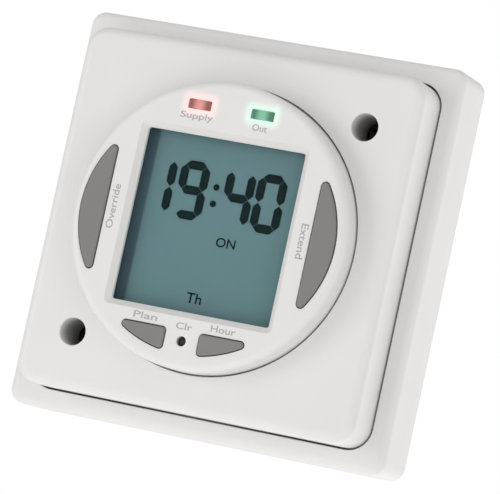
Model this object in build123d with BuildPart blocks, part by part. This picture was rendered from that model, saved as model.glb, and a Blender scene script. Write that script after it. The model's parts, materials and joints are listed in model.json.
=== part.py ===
from build123d import *
import os

# Surface-mounted digital time switch: a square wall box, a square cover standing on it, a round
# dial fascia with a display and five push keys, and the electronics that they hold.
#
# Frame: the wall is the plane Y = 0, the front faces -Y, +X is right and +Z is up. The origin is
# the centre of the back face. Depths are measured from the wall, and every sketch on front(depth)
# reads x to the right and y upwards as the user sees it.

os.makedirs("parts", exist_ok=True)

# ---- wall box (mm) ----
box_side = 86.0
box_corner = 3.0
box_depth = 14.0
box_wall = 2.4
back_wall = 2.4
box_edge = 1.6
rim_depth = 3.0
slot_spacing = 60.3
slot_radius = 2.3
slot_length = 8.6
entry_width = 28.0
entry_height = 14.0
entry_drop = 27.0
entry_corner = 3.0

# ---- front cover ----
ledge_width = 4.1
cover_corner = 4.8
cover_rise = 10.3
cover_wall = 2.2
cover_edge = 2.0
cover_gap = 0.4
skirt_overlap = 3.2
cover_hole_inset_x = 11.5
cover_hole_inset_y = 12.1
cover_hole_radius = 2.9
screw_tube_wall = 1.5
tube_floor = 2.0

# ---- dial fascia ----
fascia_radius = 30.3
fascia_rise = 6.5
fascia_skirt = 1.4
fascia_front = 2.0
fascia_edge = 1.5
fascia_gap = 0.35
flange_lip = 1.7
flange_thickness = 1.6
window_width = 35.4
window_height = 36.6
window_bevel = 1.2
window_corner = 0.6

# ---- push keys ----
key_gap = 0.2
key_proud = 0.4
key_travel = 0.5
key_edge = 0.35
key_flange = 1.1
key_lip = 0.7
key_running_gap = 0.1
side_key_inner = 23.0
side_key_outer = 28.4
side_key_arc = 22.5
side_key_tip = 0.8
lower_key_inner = 3.9
lower_key_top = 22.2
lower_key_ring = 27.0
lower_key_tip = 0.7
side_switch_x = 25.4
lower_switch_x = 8.6
lower_switch_y = 24.1
reset_y = 24.4
reset_radius = 0.85
reset_collar = 1.5
reset_recess = 0.8
reset_gap = 0.2

# ---- tactile switches ----
switch_side = 4.5
switch_height = 3.8
plunger_radius = 1.2
plunger_gap = 0.1
plunger_sunk = 0.6

# ---- indicator lamps ----
lamp_width = 4.9
lamp_height = 1.85
lamp_x = 7.05
lamp_y = 24.45
lamp_gap = 0.1
lamp_body = 7.0
lamp_proud = 0.2
lamp_lead_pitch = 2.54

# ---- circuit boards and their screws ----
board_thickness = 1.6
display_board_inset = 2.3
display_board_margin = 1.0
boss_radius = 1.9
display_screw_radius = 0.95
display_screw_length = 4.3
power_board_inset = 1.3
power_board_bottom = 14.0
power_board_level = 4.6
notch_depth = 10.5
notch_height = 10.4
post_radius = 3.0
post_x = 31.0
upper_post_y = 30.0
lower_post_y = 9.0
inner_post_x = 10.0
power_screw_radius = 1.15
power_screw_length = 4.6
thread_gap = 0.05
lead_radius = 0.3
lead_gap = 0.15
solder_length = 1.0

# ---- liquid crystal display stack ----
glass_side_border = 0.9
glass_end_border = 1.0
glass_thickness = 1.1
contact_ledge = 2.1
reflector_thickness = 0.3
lens_thickness = 1.0
lens_gap = 0.1
holder_wall = 0.7
holder_gap = 0.1
holder_floor = 1.2
holder_corner = 1.5
strip_end_gap = 1.4
strip_thickness = 1.4
peg_radius = 0.9

# ---- parts on the back of the display board ----
controller_side = 10.0
controller_height = 1.4
controller_x = -9.0
controller_y = -21.0
crystal_radius = 1.0
crystal_length = 6.0
crystal_x = 1.0
crystal_y = -29.5
cell_radius = 6.25
cell_thickness = 3.0
cell_x = 14.0
cell_y = -21.0
clip_width = 4.0
clip_metal = 0.3
clip_play = 0.05
header_x = 23.2
header_y = 11.0
header_pins_count = 4
header_pitch = 2.54
header_width = 2.5
header_height = 2.5
header_pin = 0.64
header_pin_gap = 0.2
header_play = 0.2
pin_entry = 5.5
pin_tail = 0.7

# ---- mains terminals ----
ways = 4
way_pitch = 7.5
block_end = 0.75
block_depth = 10.0
block_height = 11.2
block_rise = 0.2
cavity_width = 5.4
cavity_gap = 0.1
cage_width = 4.8
cage_length = 5.2
cage_height = 6.2
cage_wall = 0.9
cage_travel = 1.6
cage_front_gap = 1.2
bar_thickness = 0.8
bar_width = 3.0
bar_tail = 1.2
terminal_screw_radius = 1.45
terminal_head_radius = 2.1
terminal_head_height = 1.3
terminal_slot_width = 0.6
terminal_slot_depth = 0.6
ceiling = 0.6

# ---- relay ----
relay_length = 28.0
relay_width = 12.0
relay_height = 11.2
relay_x = -6.0
relay_y = 6.0
relay_shell = 0.6
relay_base_flange = 1.2
relay_base_plug = 0.6
relay_fit = 0.05
coil_length = 12.0
coil_radius = 2.7
bobbin_radius = 3.0
bobbin_flange = 0.7
core_radius = 1.3
yoke_thickness = 0.9
yoke_width = 7.0
yoke_lift = 0.1
armature_thickness = 0.8
armature_gap = 0.7
armature_height = 5.0
blade_thickness = 0.25
blade_width = 3.0
contact_radius = 0.5
contact_gap = 0.65
contact_thickness = 0.3
contact_height = 6.8
strip_metal = 0.4
strip_depth = 2.0

# ---- other parts on the power board ----
dropper_width = 7.0
dropper_length = 17.5
dropper_height = 11.0
dropper_x = 16.0
dropper_y = 6.0
dropper_lead_pitch = 15.0
dropper_corner = 0.8
can_radius = 4.0
can_height = 10.5
can_groove = 0.4
can_lead_pitch = 3.5
can_places = [(-18.0, 24.0), (-8.0, 24.0)]
varistor_radius = 5.5
varistor_thickness = 4.0
varistor_x = -27.0
varistor_y = 14.0
varistor_lead_pitch = 7.5
diode_radius = 1.3
diode_length = 5.0
diode_pitch = 3.6
diode_first_x = 1.0
diode_y = 22.0
diode_count = 4
resistor_radius = 1.4
resistor_length = 6.5
resistor_waist = 0.2
resistor_places = [(28.0, 13.0), (32.0, 13.0)]
axial_lead_span = 10.0
axial_lift = 0.2
lead_bend = 0.05

# ---- screws and inserts of the cover ----
cover_screw_radius = 1.75
cover_screw_head = 2.7
cover_screw_head_height = 2.2
cover_screw_length = 8.0
insert_radius = 2.3
insert_length = 7.0
pillar_radius = 4.2
pillar_height = 8.0

# ---- sizes, depths and radii that follow from the sizes above ----
cover_side = box_side - 2 * (ledge_width + cover_gap)
cover_room = cover_side - 2 * cover_wall
cover_hole_x = cover_side / 2 - cover_hole_inset_x
cover_hole_y = cover_side / 2 - cover_hole_inset_y
display_board_side = cover_room - 2 * display_board_inset
power_board_width = cover_room - 2 * power_board_inset
power_board_top = power_board_width / 2
glass_width = window_width + 2 * glass_side_border
glass_height = window_height + 2 * glass_end_border
rear_glass_height = glass_height - 2 * contact_ledge
strip_width = glass_width - 2 * strip_end_gap
cover_face = box_depth + cover_rise
cover_inner = cover_face - cover_wall
fascia_face = cover_face + fascia_rise
fascia_inner = fascia_face - fascia_front
skirt_inner = fascia_radius - fascia_skirt
flange_back = cover_inner - flange_thickness
flange_radius = fascia_radius + flange_lip
display_front = flange_back
display_back = display_front - board_thickness
key_seat = fascia_inner - key_running_gap - key_flange
key_flange_top = key_seat + key_flange
key_face = fascia_face + key_proud
lens_back = fascia_inner - lens_thickness
glass_front = lens_back - lens_gap
glass_back = glass_front - glass_thickness
rear_glass_back = glass_back - glass_thickness
reflector_back = rear_glass_back - reflector_thickness
power_front = power_board_level + board_thickness
pillar_top = back_wall + pillar_height
screw_seat = pillar_top + tube_floor
opening_side = cover_side + 2 * cover_gap
screw_tube_radius = cover_hole_radius + screw_tube_wall
fascia_seats = [(cover_hole_x, cover_hole_y), (-cover_hole_x, -cover_hole_y)]
display_bosses = [(-28.0, 28.0), (28.0, -28.0), (31.0, 15.0), (-31.0, -15.0)]
board_posts = [(-post_x, upper_post_y), (inner_post_x, upper_post_y + 1.0),
               (-post_x, -lower_post_y), (post_x, -lower_post_y)]
key_switches = [(-side_switch_x, 0.0), (side_switch_x, 0.0),
                (-lower_switch_x, -lower_switch_y), (lower_switch_x, -lower_switch_y),
                (0.0, -reset_y)]
header_rows = [header_y + (i - (header_pins_count - 1) / 2) * header_pitch
               for i in range(header_pins_count)]
way_places = [(i - (ways - 1) / 2) * way_pitch for i in range(ways)]
diode_places = [(diode_first_x + i * diode_pitch, diode_y) for i in range(diode_count)]


def front(depth):
    """Plane parallel to the wall, facing the user, at this depth in front of the wall."""
    return Plane.XZ.offset(depth)


def side_key_outline(side, grow=0.0):
    """D-shaped outline of a side key: a straight inner edge and a round outer edge."""
    with BuildSketch() as outline:
        with Locations((side * (side_key_outer - side_key_arc), 0)):
            Circle(side_key_arc)
        with Locations((side * (side_key_inner + side_key_arc), 0)):
            Rectangle(2 * side_key_arc, 4 * side_key_arc, mode=Mode.INTERSECT)
        fillet(outline.vertices(), side_key_tip)
        if grow:
            offset(amount=grow)
    return outline.sketch


def lower_key_outline(side, grow=0.0):
    """Outline of a lower key: straight top and inner edges and a lower edge round the dial."""
    with BuildSketch() as outline:
        Circle(lower_key_ring)
        with Locations((side * (lower_key_inner + lower_key_ring / 2),
                        -lower_key_top - lower_key_ring / 2)):
            Rectangle(lower_key_ring, lower_key_ring, mode=Mode.INTERSECT)
        fillet(outline.vertices(), lower_key_tip)
        if grow:
            offset(amount=grow)
    return outline.sketch


def side_pair(pitch):
    """Two offsets, half a pitch to each side."""
    return (-pitch / 2, pitch / 2)


# Holes that the leads of the power board's parts go through.
lead_places = [(dropper_x, dropper_y + d) for d in side_pair(dropper_lead_pitch)]
lead_places += [(varistor_x + d, varistor_y) for d in side_pair(varistor_lead_pitch)]
lead_places += [(x + d, y) for x, y in can_places for d in side_pair(can_lead_pitch)]
lead_places += [(x, y + d) for x, y in diode_places + resistor_places
                for d in side_pair(axial_lead_span)]

# ---- wall box ----
with BuildPart() as back_box:
    with BuildSketch(front(0)):
        RectangleRounded(box_side, box_side, box_corner)
    extrude(amount=box_depth)
    fillet(back_box.faces().sort_by(Axis.Y)[0].outer_wire().edges(), box_edge)
    with BuildSketch(front(back_wall)):
        cavity_side = box_side - 2 * box_wall
        RectangleRounded(cavity_side, cavity_side, box_corner)
    extrude(amount=box_depth - rim_depth - back_wall, mode=Mode.SUBTRACT)
    with BuildSketch(front(box_depth - rim_depth)):
        RectangleRounded(opening_side, opening_side, cover_corner + cover_gap)
    extrude(amount=rim_depth, mode=Mode.SUBTRACT)
    with BuildSketch(front(back_wall)):
        with Locations(*fascia_seats):
            Circle(pillar_radius)
    extrude(amount=pillar_height)
    with BuildSketch(front(back_wall)):
        with Locations(*board_posts):
            Circle(post_radius)
    extrude(amount=power_board_level - back_wall)
    with BuildSketch(front(pillar_top - insert_length)):
        with Locations(*fascia_seats):
            Circle(insert_radius)
    extrude(amount=insert_length, mode=Mode.SUBTRACT)
    with BuildSketch(front(power_front - power_screw_length - 2 * thread_gap)):
        with Locations(*board_posts):
            Circle(power_screw_radius + thread_gap)
    extrude(amount=power_screw_length, mode=Mode.SUBTRACT)
    with BuildSketch(front(0)):
        with Locations((-slot_spacing / 2, 0), (slot_spacing / 2, 0)):
            SlotOverall(slot_length, 2 * slot_radius)
        with Locations((0, -entry_drop)):
            RectangleRounded(entry_width, entry_height, entry_corner)
    extrude(amount=back_wall, mode=Mode.SUBTRACT)
back_box.part.label = "back_box"
export_step(back_box.part, "parts/back_box.step")

# ---- front cover ----
skirt_bottom = box_depth - skirt_overlap
with BuildPart() as front_cover:
    with BuildSketch(front(skirt_bottom)):
        RectangleRounded(cover_side, cover_side, cover_corner)
    extrude(amount=cover_face - skirt_bottom)
    fillet(front_cover.faces().sort_by(Axis.Y)[0].outer_wire().edges(), cover_edge)
    with BuildSketch(front(skirt_bottom)):
        RectangleRounded(cover_room, cover_room, cover_corner - cover_wall)
    extrude(amount=cover_inner - skirt_bottom, mode=Mode.SUBTRACT)
    with BuildSketch(front(pillar_top)):
        with Locations(*fascia_seats):
            Circle(screw_tube_radius)
    extrude(amount=cover_inner - pillar_top)
    with BuildSketch(front(display_front)):
        with Locations(*display_bosses):
            Circle(boss_radius)
    extrude(amount=cover_inner - display_front)
    with BuildSketch(front(cover_inner)):
        Circle(fascia_radius + fascia_gap)
    extrude(amount=cover_wall, mode=Mode.SUBTRACT)
    with BuildSketch(front(screw_seat)):
        with Locations(*fascia_seats):
            Circle(cover_hole_radius)
    extrude(amount=cover_face - screw_seat, mode=Mode.SUBTRACT)
    with BuildSketch(front(pillar_top)):
        with Locations(*fascia_seats):
            Circle(cover_screw_radius + 2 * thread_gap)
    extrude(amount=tube_floor, mode=Mode.SUBTRACT)
    with BuildSketch(front(display_front)):
        with Locations(*display_bosses):
            Circle(display_screw_radius + thread_gap)
    extrude(amount=display_screw_length - board_thickness + thread_gap, mode=Mode.SUBTRACT)
front_cover.part.label = "front_cover"
export_step(front_cover.part, "parts/front_cover.step")

# ---- dial fascia ----
with BuildPart() as dial_fascia:
    with BuildSketch(front(flange_back)):
        Circle(fascia_radius)
    extrude(amount=fascia_face - flange_back)
    fillet(dial_fascia.faces().sort_by(Axis.Y)[0].edges(), fascia_edge)
    with BuildSketch(front(flange_back)):
        Circle(flange_radius)
    extrude(amount=flange_thickness)
    with BuildSketch(front(flange_back)):
        Circle(skirt_inner)
    extrude(amount=fascia_inner - flange_back, mode=Mode.SUBTRACT)
    with BuildSketch(front(fascia_inner)):
        RectangleRounded(window_width, window_height, window_corner)
    extrude(amount=fascia_front, mode=Mode.SUBTRACT)
    chamfer(dial_fascia.faces().sort_by(Axis.Y)[0].inner_wires()[0].edges(), window_bevel)
    with BuildSketch(front(fascia_inner)):
        for side in (-1, 1):
            add(side_key_outline(side, key_gap))
            add(lower_key_outline(side, key_gap))
        with Locations((-lamp_x, lamp_y), (lamp_x, lamp_y)):
            Rectangle(lamp_width + 2 * lamp_gap, lamp_height + 2 * lamp_gap)
        with Locations((0, -reset_y)):
            Circle(reset_radius + reset_gap)
    extrude(amount=fascia_front, mode=Mode.SUBTRACT)
dial_fascia.part.label = "dial_fascia"
export_step(dial_fascia.part, "parts/dial_fascia.step")

# ---- push keys: a cap that stands through the fascia on a flange that stays behind it ----
key_outlines = {
    "left_key": (side_key_outline, -1),
    "right_key": (side_key_outline, 1),
    "program_key": (lower_key_outline, -1),
    "clock_key": (lower_key_outline, 1),
}
for name, (outline_of, side) in key_outlines.items():
    with BuildPart() as push_key:
        with BuildSketch(front(key_seat)):
            add(outline_of(side, key_lip))
            Circle(skirt_inner - key_running_gap - key_gap, mode=Mode.INTERSECT)
        extrude(amount=key_flange)
        with BuildSketch(front(key_flange_top)):
            add(outline_of(side))
        extrude(amount=key_face - key_flange_top)
        fillet(push_key.faces().sort_by(Axis.Y)[0].edges(), key_edge)
    push_key.part.label = name
    export_step(push_key.part, f"parts/{name}.step")

with BuildPart() as reset_pin:
    with BuildSketch(front(key_seat)):
        with Locations((0, -reset_y)):
            Circle(reset_collar)
    extrude(amount=key_flange)
    with BuildSketch(front(key_flange_top)):
        with Locations((0, -reset_y)):
            Circle(reset_radius)
    extrude(amount=fascia_face - reset_recess - key_flange_top)
reset_pin.part.label = "reset_pin"
export_step(reset_pin.part, "parts/reset_pin.step")

# ---- tactile switches and their plungers ----
switch_top = display_front + switch_height
with BuildPart() as switch_bodies:
    with BuildSketch(front(display_front)):
        with Locations(*key_switches):
            Rectangle(switch_side, switch_side)
    extrude(amount=switch_height)
    with BuildSketch(front(switch_top - plunger_sunk - key_travel - plunger_gap)):
        with Locations(*key_switches):
            Circle(plunger_radius + plunger_gap)
    extrude(amount=plunger_sunk + key_travel + plunger_gap, mode=Mode.SUBTRACT)
switch_bodies.part.label = "switch_bodies"
export_step(switch_bodies.part, "parts/switch_bodies.step")

plunger_names = ["left_plunger", "right_plunger", "program_plunger", "clock_plunger", "reset_plunger"]
for name, place in zip(plunger_names, key_switches):
    with BuildPart() as plunger:
        with BuildSketch(front(switch_top - plunger_sunk)):
            with Locations(place):
                Circle(plunger_radius)
        extrude(amount=key_seat - switch_top + plunger_sunk)
    plunger.part.label = name
    export_step(plunger.part, f"parts/{name}.step")

# ---- indicator lamps: rectangular light-emitting diodes on two leads ----
lamp_top = fascia_face + lamp_proud
for name, side in (("red_lamp", -1), ("green_lamp", 1)):
    with BuildPart() as lamp:
        with BuildSketch(front(lamp_top - lamp_body)):
            with Locations((side * lamp_x, lamp_y)):
                Rectangle(lamp_width, lamp_height)
        extrude(amount=lamp_body)
        with BuildSketch(front(display_back - solder_length)):
            with Locations(*[(side * lamp_x + d, lamp_y) for d in side_pair(lamp_lead_pitch)]):
                Circle(lead_radius)
        extrude(amount=lamp_top - lamp_body - display_back + solder_length)
    lamp.part.label = name
    export_step(lamp.part, f"parts/{name}.step")

# ---- display board ----
peg_x = glass_width / 2 - 2 * peg_radius
peg_y = rear_glass_height / 2 - 3 * peg_radius
pegs = [(sx * peg_x, sy * peg_y) for sx in (-1, 1) for sy in (-1, 1)]
with BuildPart() as display_board:
    with BuildSketch(front(display_back)):
        Rectangle(display_board_side, display_board_side)
        for sign in (-1, 1):
            cut_x = cover_hole_x - screw_tube_radius - display_board_margin
            cut_y = cover_hole_y - screw_tube_radius - display_board_margin
            with Locations((sign * (cut_x + display_board_side / 4), sign * (cut_y + display_board_side / 4))):
                Rectangle(display_board_side / 2, display_board_side / 2, mode=Mode.SUBTRACT)
        with Locations(*display_bosses):
            Circle(display_screw_radius + lead_gap, mode=Mode.SUBTRACT)
        with Locations(*pegs):
            Circle(peg_radius + lead_gap, mode=Mode.SUBTRACT)
        with Locations(*[(header_x, row) for row in header_rows]):
            Rectangle(header_pin + header_pin_gap, header_pin + header_pin_gap, mode=Mode.SUBTRACT)
        for side in (-1, 1):
            with Locations(*[(side * lamp_x + d, lamp_y) for d in side_pair(lamp_lead_pitch)]):
                Circle(lead_radius + lead_gap, mode=Mode.SUBTRACT)
    extrude(amount=board_thickness)
display_board.part.label = "display_board"
export_step(display_board.part, "parts/display_board.step")

# ---- display: lens, two glasses, reflector, holder and conductive strips ----
with BuildPart() as lcd_window:
    with BuildSketch(front(lens_back)):
        Rectangle(glass_width, glass_height)
    extrude(amount=lens_thickness)
lcd_window.part.label = "lcd_window"
export_step(lcd_window.part, "parts/lcd_window.step")

with BuildPart() as lcd_front_glass:
    with BuildSketch(front(glass_back)):
        Rectangle(glass_width, glass_height)
    extrude(amount=glass_thickness)
lcd_front_glass.part.label = "lcd_front_glass"
export_step(lcd_front_glass.part, "parts/lcd_front_glass.step")

with BuildPart() as lcd_rear_glass:
    with BuildSketch(front(rear_glass_back)):
        Rectangle(glass_width, rear_glass_height)
    extrude(amount=glass_thickness)
lcd_rear_glass.part.label = "lcd_rear_glass"
export_step(lcd_rear_glass.part, "parts/lcd_rear_glass.step")

with BuildPart() as lcd_reflector:
    with BuildSketch(front(reflector_back)):
        Rectangle(glass_width - 2 * holder_wall, rear_glass_height - 2 * holder_gap)
    extrude(amount=reflector_thickness)
lcd_reflector.part.label = "lcd_reflector"
export_step(lcd_reflector.part, "parts/lcd_reflector.step")

strip_y = (rear_glass_height + glass_height) / 4
strip_places = [(0, -strip_y), (0, strip_y)]
with BuildPart() as contact_strips:
    with BuildSketch(front(display_front)):
        with Locations(*strip_places):
            Rectangle(strip_width, strip_thickness)
    extrude(amount=glass_back - display_front)
contact_strips.part.label = "contact_strips"
export_step(contact_strips.part, "parts/contact_strips.step")

pocket_width = glass_width + 2 * holder_gap
pocket_height = glass_height + 2 * holder_gap
with BuildPart() as lcd_holder:
    with BuildSketch(front(display_front)):
        RectangleRounded(pocket_width + 2 * holder_wall, pocket_height + 2 * holder_wall, holder_corner)
    extrude(amount=glass_front - display_front)
    with BuildSketch(front(glass_back)):
        Rectangle(pocket_width, pocket_height)
    extrude(amount=glass_thickness, mode=Mode.SUBTRACT)
    with BuildSketch(front(reflector_back)):
        Rectangle(pocket_width, rear_glass_height + 2 * holder_gap)
    extrude(amount=glass_back - reflector_back, mode=Mode.SUBTRACT)
    with BuildSketch(front(display_front)):
        with Locations(*strip_places):
            Rectangle(strip_width + 2 * holder_gap, strip_thickness + 2 * holder_gap)
    extrude(amount=glass_back - display_front, mode=Mode.SUBTRACT)
    with BuildSketch(front(display_front)):
        Rectangle(strip_width, rear_glass_height - 2 * holder_wall)
    extrude(amount=reflector_back - holder_floor - display_front, mode=Mode.SUBTRACT)
    with BuildSketch(front(display_back)):
        with Locations(*pegs):
            Circle(peg_radius)
    extrude(amount=reflector_back - holder_floor - display_back)
lcd_holder.part.label = "lcd_holder"
export_step(lcd_holder.part, "parts/lcd_holder.step")

# ---- parts on the back of the display board ----
with BuildPart() as controller:
    with BuildSketch(front(display_back - controller_height)):
        with Locations((controller_x, controller_y)):
            Rectangle(controller_side, controller_side)
    extrude(amount=controller_height)
controller.part.label = "controller"
export_step(controller.part, "parts/controller.step")

with BuildPart() as clock_crystal:
    with Locations((crystal_x, -(display_back - crystal_radius), crystal_y)):
        Cylinder(crystal_radius, crystal_length, rotation=(0, 90, 0))
clock_crystal.part.label = "clock_crystal"
export_step(clock_crystal.part, "parts/clock_crystal.step")

cell_top = display_back - clip_metal - clip_play
with BuildPart() as backup_cell:
    with BuildSketch(front(cell_top - cell_thickness)):
        with Locations((cell_x, cell_y)):
            Circle(cell_radius)
    extrude(amount=cell_thickness)
backup_cell.part.label = "backup_cell"
export_step(backup_cell.part, "parts/backup_cell.step")

clip_space = cell_thickness + 2 * clip_play
with BuildPart() as cell_clip:
    with BuildSketch(front(display_back - clip_space - 2 * clip_metal)):
        with Locations((cell_x, cell_y)):
            Rectangle(2 * (cell_radius + clip_play + clip_metal), clip_width)
    extrude(amount=clip_space + 2 * clip_metal)
    with BuildSketch(front(display_back - clip_space - clip_metal)):
        with Locations((cell_x, cell_y)):
            Rectangle(2 * (cell_radius + clip_play), clip_width)
    extrude(amount=clip_space, mode=Mode.SUBTRACT)
cell_clip.part.label = "cell_clip"
export_step(cell_clip.part, "parts/cell_clip.step")

socket_top = display_back - header_height - header_play
with BuildPart() as header_pins:
    with BuildSketch(front(display_back - header_height)):
        with Locations((header_x, header_y)):
            Rectangle(header_width, header_pins_count * header_pitch)
    extrude(amount=header_height)
    with BuildSketch(front(socket_top - pin_entry)):
        with Locations(*[(header_x, row) for row in header_rows]):
            Rectangle(header_pin, header_pin)
    extrude(amount=display_front + pin_tail - socket_top + pin_entry)
header_pins.part.label = "header_pins"
export_step(header_pins.part, "parts/header_pins.step")

with BuildPart() as header_socket:
    with BuildSketch(front(power_front)):
        with Locations((header_x, header_y)):
            Rectangle(header_width, header_pins_count * header_pitch)
    extrude(amount=socket_top - power_front)
    with BuildSketch(front(socket_top - pin_entry - header_pin)):
        with Locations(*[(header_x, row) for row in header_rows]):
            Rectangle(header_pin + header_pin_gap, header_pin + header_pin_gap)
    extrude(amount=pin_entry + header_pin, mode=Mode.SUBTRACT)
header_socket.part.label = "header_socket"
export_step(header_socket.part, "parts/header_socket.step")

# ---- terminal block: a rising cage clamp in each way, seen from its screw ----
block_width = ways * way_pitch + 2 * block_end
block_front = -power_board_bottom + block_rise
block_y = block_front + block_depth / 2
block_top = power_front + block_height
ceiling_low = block_top - terminal_head_height - 2 * cavity_gap - ceiling
cage_low = ceiling_low - cavity_gap - cage_travel - cage_height
cage_y = block_front + cage_front_gap + cage_length / 2
bar_low = cage_low + cage_height - cage_wall - bar_thickness - 2 * cavity_gap
bar_back = block_front + cage_front_gap + cage_length + 2 * bar_thickness + cavity_gap
bar_front = block_front + cage_front_gap / 2
with BuildPart() as terminal_block:
    with BuildSketch(front(power_front)):
        with Locations((0, block_y)):
            Rectangle(block_width, block_depth)
    extrude(amount=block_height)
    with BuildSketch(front(cage_low - cavity_gap)):
        cavity_length = cage_front_gap + cage_length + cavity_gap
        with Locations(*[(x, block_front + cavity_length / 2) for x in way_places]):
            Rectangle(cavity_width, cavity_length)
    extrude(amount=ceiling_low - cage_low + cavity_gap, mode=Mode.SUBTRACT)
    with BuildSketch(front(power_front)):
        leg_length = bar_back - block_front + cavity_gap / 2
        with Locations(*[(x, block_front + leg_length / 2) for x in way_places]):
            Rectangle(bar_width + cavity_gap, leg_length)
    extrude(amount=bar_low + bar_thickness - power_front + cavity_gap, mode=Mode.SUBTRACT)
    with BuildSketch(front(ceiling_low)):
        with Locations(*[(x, cage_y) for x in way_places]):
            Circle(terminal_screw_radius + cavity_gap)
    extrude(amount=ceiling, mode=Mode.SUBTRACT)
    with BuildSketch(front(ceiling_low + ceiling)):
        with Locations(*[(x, cage_y) for x in way_places]):
            Circle(terminal_head_radius + 2 * cavity_gap)
    extrude(amount=block_top - ceiling_low - ceiling, mode=Mode.SUBTRACT)
terminal_block.part.label = "terminal_block"
export_step(terminal_block.part, "parts/terminal_block.step")

with BuildPart() as terminal_bars:
    with BuildSketch(front(bar_low)):
        bar_length = bar_back - bar_front
        with Locations(*[(x, bar_front + bar_length / 2) for x in way_places]):
            Rectangle(bar_width, bar_length)
    extrude(amount=bar_thickness)
    with BuildSketch(front(power_front)):
        with Locations(*[(x, bar_back - bar_thickness / 2) for x in way_places]):
            Rectangle(bar_width, bar_thickness)
    extrude(amount=bar_low - power_front)
    with BuildSketch(front(power_board_level - solder_length)):
        with Locations(*[(x, bar_back - bar_thickness / 2) for x in way_places]):
            Rectangle(bar_tail, bar_thickness)
    extrude(amount=power_front - power_board_level + solder_length)
terminal_bars.part.label = "terminal_bars"
export_step(terminal_bars.part, "parts/terminal_bars.step")

screw_tip = bar_low + bar_thickness + cavity_gap / 2
head_low = ceiling_low + ceiling + thread_gap
for number, x in enumerate(way_places, start=1):
    with BuildPart() as terminal_cage:
        with BuildSketch(front(cage_low)):
            with Locations((x, cage_y)):
                Rectangle(cage_width, cage_length)
        extrude(amount=cage_height)
        with BuildSketch(front(cage_low + cage_wall)):
            with Locations((x, cage_y)):
                Rectangle(cage_width - 2 * cage_wall + 4 * cavity_gap, cage_length)
        extrude(amount=cage_height - 2 * cage_wall, mode=Mode.SUBTRACT)
        with BuildSketch(front(cage_low + cage_height - cage_wall)):
            with Locations((x, cage_y)):
                Circle(terminal_screw_radius + thread_gap)
        extrude(amount=cage_wall, mode=Mode.SUBTRACT)
    terminal_cage.part.label = f"terminal_cage_{number}"
    export_step(terminal_cage.part, f"parts/terminal_cage_{number}.step")

    with BuildPart() as terminal_screw:
        with BuildSketch(front(screw_tip)):
            with Locations((x, cage_y)):
                Circle(terminal_screw_radius)
        extrude(amount=head_low - screw_tip)
        with BuildSketch(front(head_low)):
            with Locations((x, cage_y)):
                Circle(terminal_head_radius)
        extrude(amount=terminal_head_height)
        with BuildSketch(front(head_low + terminal_head_height - terminal_slot_depth)):
            with Locations((x, cage_y)):
                Rectangle(2 * terminal_head_radius, terminal_slot_width)
        extrude(amount=terminal_slot_depth, mode=Mode.SUBTRACT)
    terminal_screw.part.label = f"terminal_screw_{number}"
    export_step(terminal_screw.part, f"parts/terminal_screw_{number}.step")

# ---- relay: the coil lies along X, the armature stands at its right-hand pole ----
relay_floor = power_front + relay_base_flange + relay_base_plug
relay_top = power_front + relay_height
relay_left = relay_x - relay_length / 2
yoke_left = relay_left + relay_shell + 2 * strip_metal + 2 * relay_fit
coil_left = yoke_left + yoke_thickness + relay_fit
pole_face = coil_left + coil_length + bobbin_flange
coil_level = relay_floor + yoke_lift + yoke_thickness + bobbin_radius + relay_fit
hinge_level = relay_floor + yoke_lift + yoke_thickness / 2
armature_left = pole_face + armature_gap
blade_left = armature_left + armature_thickness
contact_level = hinge_level + contact_height
fixed_contact_right = blade_left - contact_thickness - contact_gap
strip_right = fixed_contact_right - contact_thickness
strip_top = relay_top - relay_shell - relay_fit
strip_left = relay_left + relay_shell + relay_fit
strip_leg_x = strip_left + strip_metal / 2
strip_leg_hole = strip_metal + 2 * lead_gap

with BuildPart() as relay_base:
    with BuildSketch(front(power_front)):
        with Locations((relay_x, relay_y)):
            Rectangle(relay_length, relay_width)
    extrude(amount=relay_base_flange)
    with BuildSketch(front(power_front + relay_base_flange)):
        with Locations((relay_x, relay_y)):
            Rectangle(relay_length - 2 * (relay_shell + relay_fit), relay_width - 2 * (relay_shell + relay_fit))
    extrude(amount=relay_base_plug)
    with BuildSketch(front(power_front)):
        with Locations((strip_leg_x, relay_y)):
            Rectangle(strip_leg_hole, strip_depth + lead_gap)
    extrude(amount=relay_floor - power_front, mode=Mode.SUBTRACT)
relay_base.part.label = "relay_base"
export_step(relay_base.part, "parts/relay_base.step")

with BuildPart() as relay_shell_part:
    with BuildSketch(front(power_front + relay_base_flange)):
        with Locations((relay_x, relay_y)):
            Rectangle(relay_length, relay_width)
    extrude(amount=relay_height - relay_base_flange)
    with BuildSketch(front(power_front + relay_base_flange)):
        with Locations((relay_x, relay_y)):
            Rectangle(relay_length - 2 * relay_shell, relay_width - 2 * relay_shell)
    extrude(amount=relay_height - relay_base_flange - relay_shell, mode=Mode.SUBTRACT)
relay_shell_part.part.label = "relay_cover"
export_step(relay_shell_part.part, "parts/relay_cover.step")

coil_axis = Plane(origin=(coil_left, -coil_level, relay_y), x_dir=(0, 0, 1), z_dir=(1, 0, 0))
with BuildPart() as relay_coil:
    with BuildSketch(coil_axis):
        Circle(bobbin_radius)
    extrude(amount=bobbin_flange)
    with BuildSketch(coil_axis.offset(bobbin_flange)):
        Circle(coil_radius)
    extrude(amount=coil_length - 2 * bobbin_flange)
    with BuildSketch(coil_axis.offset(coil_length - bobbin_flange)):
        Circle(bobbin_radius)
    extrude(amount=bobbin_flange)
    with BuildSketch(coil_axis):
        Circle(core_radius + relay_fit)
    extrude(amount=coil_length, mode=Mode.SUBTRACT)
relay_coil.part.label = "relay_coil"
export_step(relay_coil.part, "parts/relay_coil.step")

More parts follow.
